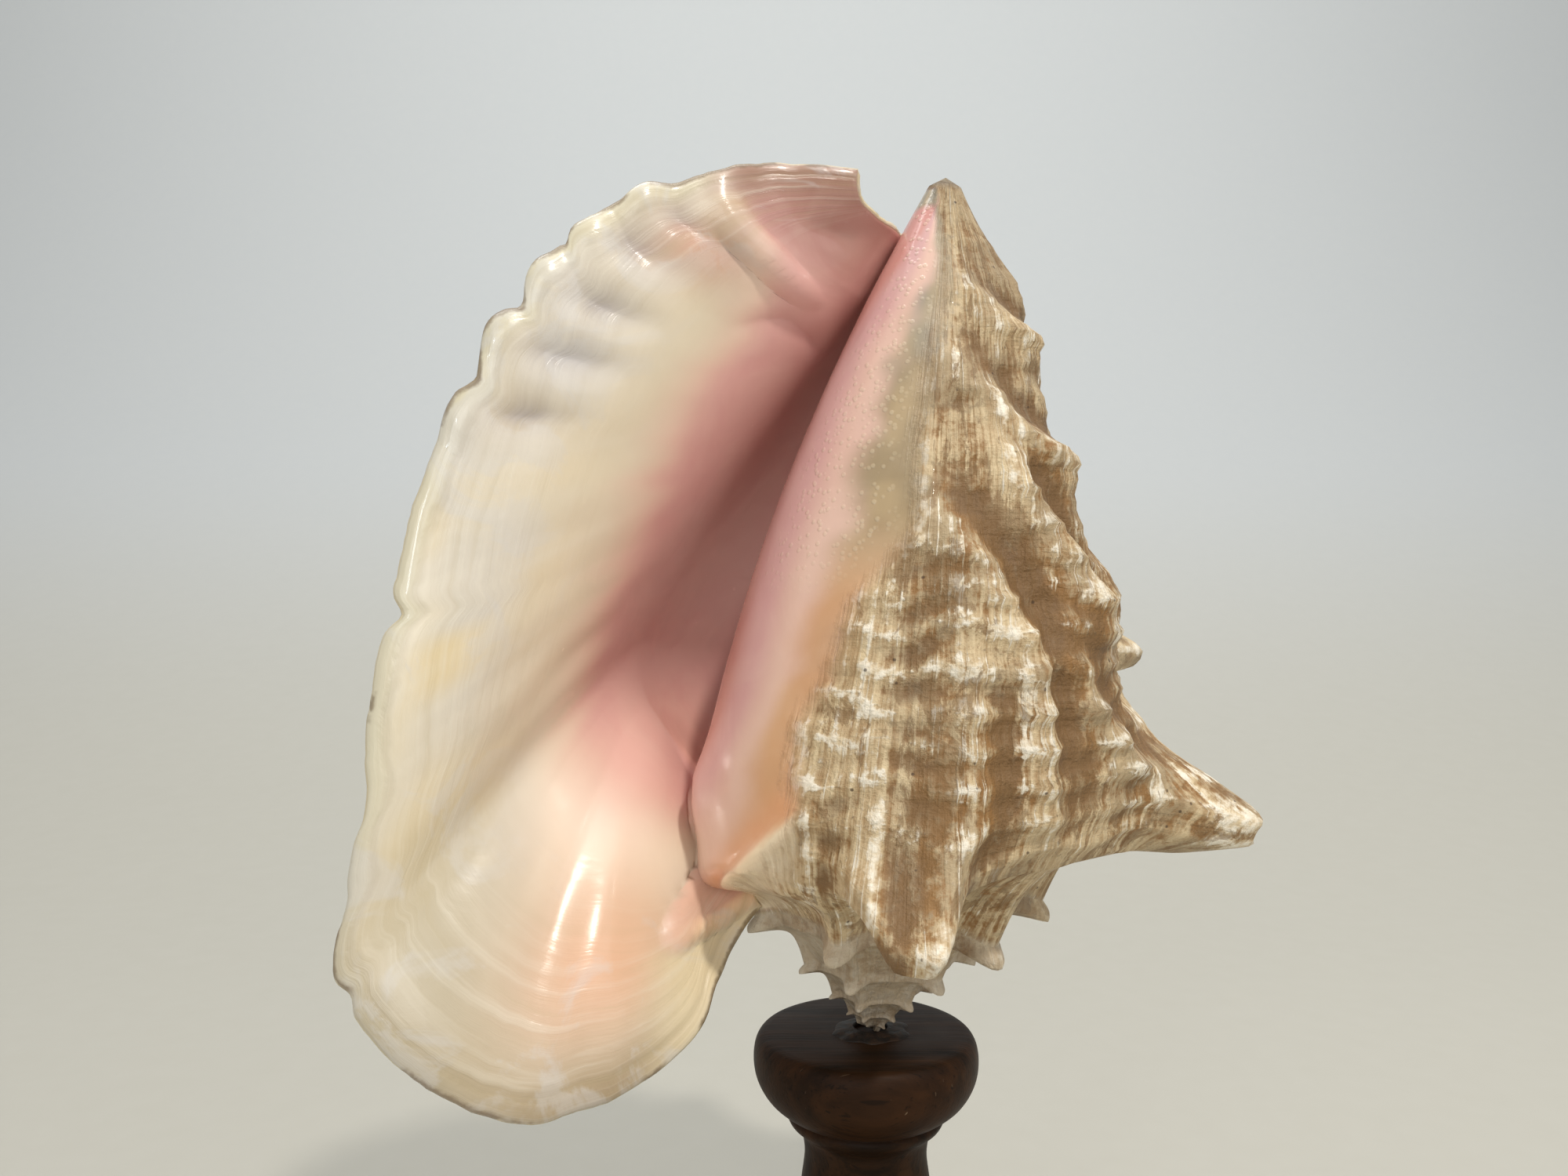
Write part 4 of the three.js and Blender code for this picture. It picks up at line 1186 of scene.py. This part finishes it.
# The turned pedestal: radius, and height from the knob's top; the foot by inset from its rim and height
pedestal = {
    "base": (30, 33), "shaft": [
        (33, -113), (29.5, -109), (25, -95), (21.6, -75), (19, -55), (17.3, -40), (16.4, -32), (17, -27)],
    "collar": [(17.6, -26.2), (18.2, -25.4), (20.4, -23.6), (21.1, -21.9), (20.6, -20.9)],
    "knob": [
        (20.3, -20.6), (21.6, -20.2), (26.6, -16.3), (29.4, -11.5),
        (30.2, -6.8), (29.6, -2.6), (28.2, -0.6), (26, 0)],
    "knobFace": (16, 8), "footFlat": 4, "footSeat": 30, "sides": 144,
    "footEdge": [(1.5, 0), (0, 3.5), (2.5, 7)],
    "footCove": [(4.5, 8.2), (14, 11), (18, 15), (19, 16)],
}
woodColours = {
    "dark": (28, 17, 8), "grain": (54, 33, 16), "figure": (58, 35, 18), "pore": (12, 8, 5),
    "scuff": (150, 128, 104),
}


def smoothProfile(points, count):
    return curveAlong(points, np.linspace(0, 1, count))


def makeTurned(name, profile):
    # each profile point (radius, height) spun round Z; the end points lie on the axis
    spun = np.linspace(0, 2 * np.pi, pedestal["sides"], endpoint=False)[:, None]
    radius, height = np.asarray(profile, float).T
    ring = stacked(radius * np.cos(spun), radius * np.sin(spun), height)[:, 1:-1]
    ringIds = np.arange(ring.shape[0] * ring.shape[1]).reshape(ring.shape[:2])
    nextIds = np.roll(ringIds, -1, axis=0)
    low, high = ringIds.size, ringIds.size + 1
    points = np.concatenate([ring.reshape(-1, 3), [(0, 0, height[0]), (0, 0, height[-1])]])
    sides = np.stack([ringIds[:, :-1], nextIds[:, :-1], nextIds[:, 1:], ringIds[:, 1:]], -1)
    faces = sides.reshape(-1, 4).tolist()
    faces += np.stack([nextIds[:, 0], ringIds[:, 0], np.full(len(ring), low)], -1).tolist()
    faces += np.stack([ringIds[:, -1], nextIds[:, -1], np.full(len(ring), high)], -1).tolist()
    return smoothMesh(name, points / metre, faces)


def columnProfile():
    lift = np.array([0, knobTop])
    parts = [
        [(0, footTop), *[(radius, footTop) for radius in pedestal["base"]]],
        smoothProfile(pedestal["shaft"], 70) + lift,
        smoothProfile(pedestal["collar"], 16) + lift,
        smoothProfile(pedestal["knob"], 50) + lift,
        [*[(radius, knobTop) for radius in pedestal["knobFace"]], (0, knobTop)],
    ]
    return np.concatenate(parts)


def footProfile():
    rim = np.array([footRadius, 0])
    flip = np.array([-1, 1])
    parts = [
        [(0, 0), (footRadius - pedestal["footFlat"], 0)],
        smoothProfile(pedestal["footEdge"], 18) * flip + rim,
        smoothProfile(pedestal["footCove"], 24) * flip + rim,
        [(pedestal["footSeat"], footTop), (0, footTop)],
    ]
    return np.concatenate(parts)


def woodFinish():
    finish = Finish("darkTurnedWood")
    place = finish.place()
    grain = finish.noise(place, (9.0, 260.0, 120.0), 5.0, 0.65, 0.2)
    figure = finish.noise(place, (12.0, 40.0, 30.0), 3.0, 0.5, 0.8)
    pores = finish.noise(place, (60.0, 1400.0, 700.0), 2.0, 0.6)
    scratch = finish.noise(place, (70.0, 1800.0, 400.0), 1.0)
    colour = finish.layers(woodColours, {
        "grain": finish.rise(grain, 0.35, 0.7),
        "figure": finish.rise(figure, 0.4, 0.7) * 0.6,
        "pore": finish.rise(pores, 0.58, 0.7) * 0.6,
        "scuff": finish.rise(scratch, 0.73, 0.78) * finish.rise(figure, 0.5, 0.6) * 0.4,
    })
    smear = finish.noise(place, 60.0, 3.0)
    finish.surface(Base_Color=colour, Roughness=0.38 + smear * 0.2 + pores * 0.06, Specular_IOR_Level=0.1,
                   Normal=finish.bump(grain * 0.6 + pores * 0.5, 0.0003, 0.5))
    return finish.material


# The smear of dried adhesive round the worn apex
glue = {
    "inner": 4.6, "radius": 10.2, "spread": 1.2, "height": 1.1, "skirt": 0.12, "lumps": 0.25, "fall": 0.7,
    "least": 0.02, "sink": 0.3, "rings": 14, "sides": 96, "seed": 41,
    "colours": {"dark": (24, 15, 9), "clot": (62, 42, 26)},
}


def makeGlue():
    # height falls from the apex outwards over an uneven outline; the underside lies flat on the knob
    spun = np.linspace(0, 2 * np.pi, glue["sides"], endpoint=False)[:, None]
    t = np.linspace(0, 1, glue["rings"])[None, :]
    wobble = valueNoise(3 * np.cos(spun) + 9, 3 * np.sin(spun) + 9, glue["seed"])
    outer = glue["radius"] + glue["spread"] * wobble
    radius = blend(glue["inner"], outer, t)
    lumps = valueNoise(radius * np.cos(spun) * 0.35 + 30, radius * np.sin(spun) * 0.35 + 30, glue["seed"] + 1)
    height = glue["height"] * (1 - t) ** glue["fall"] + glue["skirt"] + glue["lumps"] * lumps * np.sqrt(1 - t)
    height = np.maximum(height * smoothStep(1.0, 0.9, t), glue["least"])
    x, y = coil["apexOffset"] + radius * np.cos(spun), radius * np.sin(spun)
    top = stacked(x, y, knobTop + height)
    base = stacked(x, y, knobTop - glue["sink"])[:, [-1, 0]]
    ring = np.concatenate([top, base], 1)
    ids = np.arange(ring.shape[0] * ring.shape[1]).reshape(ring.shape[:2])
    after, up = np.roll(ids, -1, axis=0), np.roll(ids, -1, axis=1)
    faces = np.stack([ids, up, np.roll(after, -1, axis=1), after], -1).reshape(-1, 4)[:, ::-1]
    return smoothMesh("glueSmear", ring.reshape(-1, 3) / metre, faces.tolist())


def glueFinish():
    finish = Finish("driedAdhesive")
    place = finish.place()
    clots = finish.noise(place, 420.0, 3.0, 0.6)
    colour = finish.layers(glue["colours"], {"clot": finish.rise(clots, 0.4, 0.7)})
    finish.surface(Base_Color=colour, Roughness=0.5 + clots * 0.3, Normal=finish.bump(clots, 0.0006, 0.6))
    return finish.material


# A pale floor that curves up into a backdrop
sweep = {
    "front": -2.2, "bend": 0.5, "radius": 1.8, "top": 3.2, "halfWidth": 3.5, "steps": 24, "shade": (0.0, 0.5),
    "colours": {"low": (184, 181, 170), "high": (190, 192, 191), "tooth": (214, 212, 206)},
}


def addSweep():
    turnAngles = np.linspace(0, np.pi / 2, sweep["steps"])
    bent = sweep["bend"] + sweep["radius"] * np.sin(turnAngles)
    y = np.concatenate([[sweep["front"]], bent, [sweep["bend"] + sweep["radius"]]])
    z = np.concatenate([[0.0], sweep["radius"] * (1 - np.cos(turnAngles)), [sweep["top"]]])
    left = np.stack([np.full(len(y), -sweep["halfWidth"]), y, z], -1)
    right = left * (-1, 1, 1)
    count = len(y)
    first = np.arange(count - 1)
    faces = np.stack([first, first + count, first + count + 1, first + 1], -1)
    mesh = smoothMesh("paleSweep", np.concatenate([left, right]), faces.tolist())
    floor = bpy.data.objects.new("paleSweep", mesh)
    scene.collection.objects.link(floor)
    finish = Finish("paleWall")
    tooth = finish.noise(finish.place(), 60.0, 3.0)
    height = finish.node("ShaderNodeSeparateXYZ", {}, {0: finish.place()}, "Z")
    shares = {"high": finish.rise(height, *sweep["shade"]), "tooth": tooth * 0.1}
    colour = finish.layers(sweep["colours"], shares)
    finish.surface(Base_Color=colour, Roughness=0.85, Specular_IOR_Level=0.2)
    mesh.materials.append(finish.material)


# Lights: place and aim in metres, size, power and colour
lights = {
    "keySoftbox": ((0.4, -0.75, 1.35), (0, 0, 0.25), (0.08, 0.08), 10.0, (1.0, 0.95, 0.88)),
    "frontSoftbox": ((-0.45, -1.7, 0.75), (0, 0, 0.25), (1.3, 0.9), 7.0, (1.0, 0.97, 0.94)),
    "topSoftbox": ((0.3, 0.0, 1.7), (0, 0, 0.2), (1.2, 1.2), 4.5, (1.0, 0.97, 0.93)),
    "windowPane": ((-0.55, -1.1, 0.5), (0, 0, 0.27), (0.07, 0.12), 0.5, (0.78, 0.9, 1.0)),
    "fillRight": ((1.3, -1.0, 0.8), (0, 0, 0.25), (1.0, 1.2), 2.5, (1.0, 0.96, 0.92)),
    "wallWash": ((0.0, 0.6, 2.6), (0, 2.6, 0.6), (3.0, 1.0), 46.0, (0.97, 0.99, 1.0)),
}
room = {"colour": (0.86, 0.88, 0.9, 1), "strength": 0.5}

def addLights():
    for name, (place, aim, size, power, colour) in lights.items():
        lamp = bpy.data.lights.new(name, "AREA")
        lamp.shape = "RECTANGLE"
        lamp.size, lamp.size_y = size
        lamp.energy = power
        lamp.color = colour
        holder = bpy.data.objects.new(name, lamp)
        holder.location = place
        away = np.array(aim) - np.array(place)
        flat = math.hypot(away[0], away[1])
        holder.rotation_euler = (math.atan2(flat, -away[2]), 0, math.atan2(away[1], away[0]) - math.pi / 2)
        scene.collection.objects.link(holder)
    world = bpy.data.worlds.new("softRoom")
    world.use_nodes = True
    background = world.node_tree.nodes["Background"]
    background.inputs["Color"].default_value = room["colour"]
    background.inputs["Strength"].default_value = room["strength"]
    scene.world = world


scene.view_settings.view_transform = "Standard"
addCamera()
print("camera set")
addPiece("conchShell", makeShell(), shellFinish(), "shell")
print("shell made")
wood = woodFinish()
addPiece("turnedColumn", makeTurned("turnedColumn", columnProfile()), wood, "stand_column")
addPiece("turnedFoot", makeTurned("turnedFoot", footProfile()), wood, "stand_foot")
addPiece("glueSmear", makeGlue(), glueFinish(), "adhesive_bead")
print("pedestal and glue made")
addSweep()
addLights()
print("stage lit")
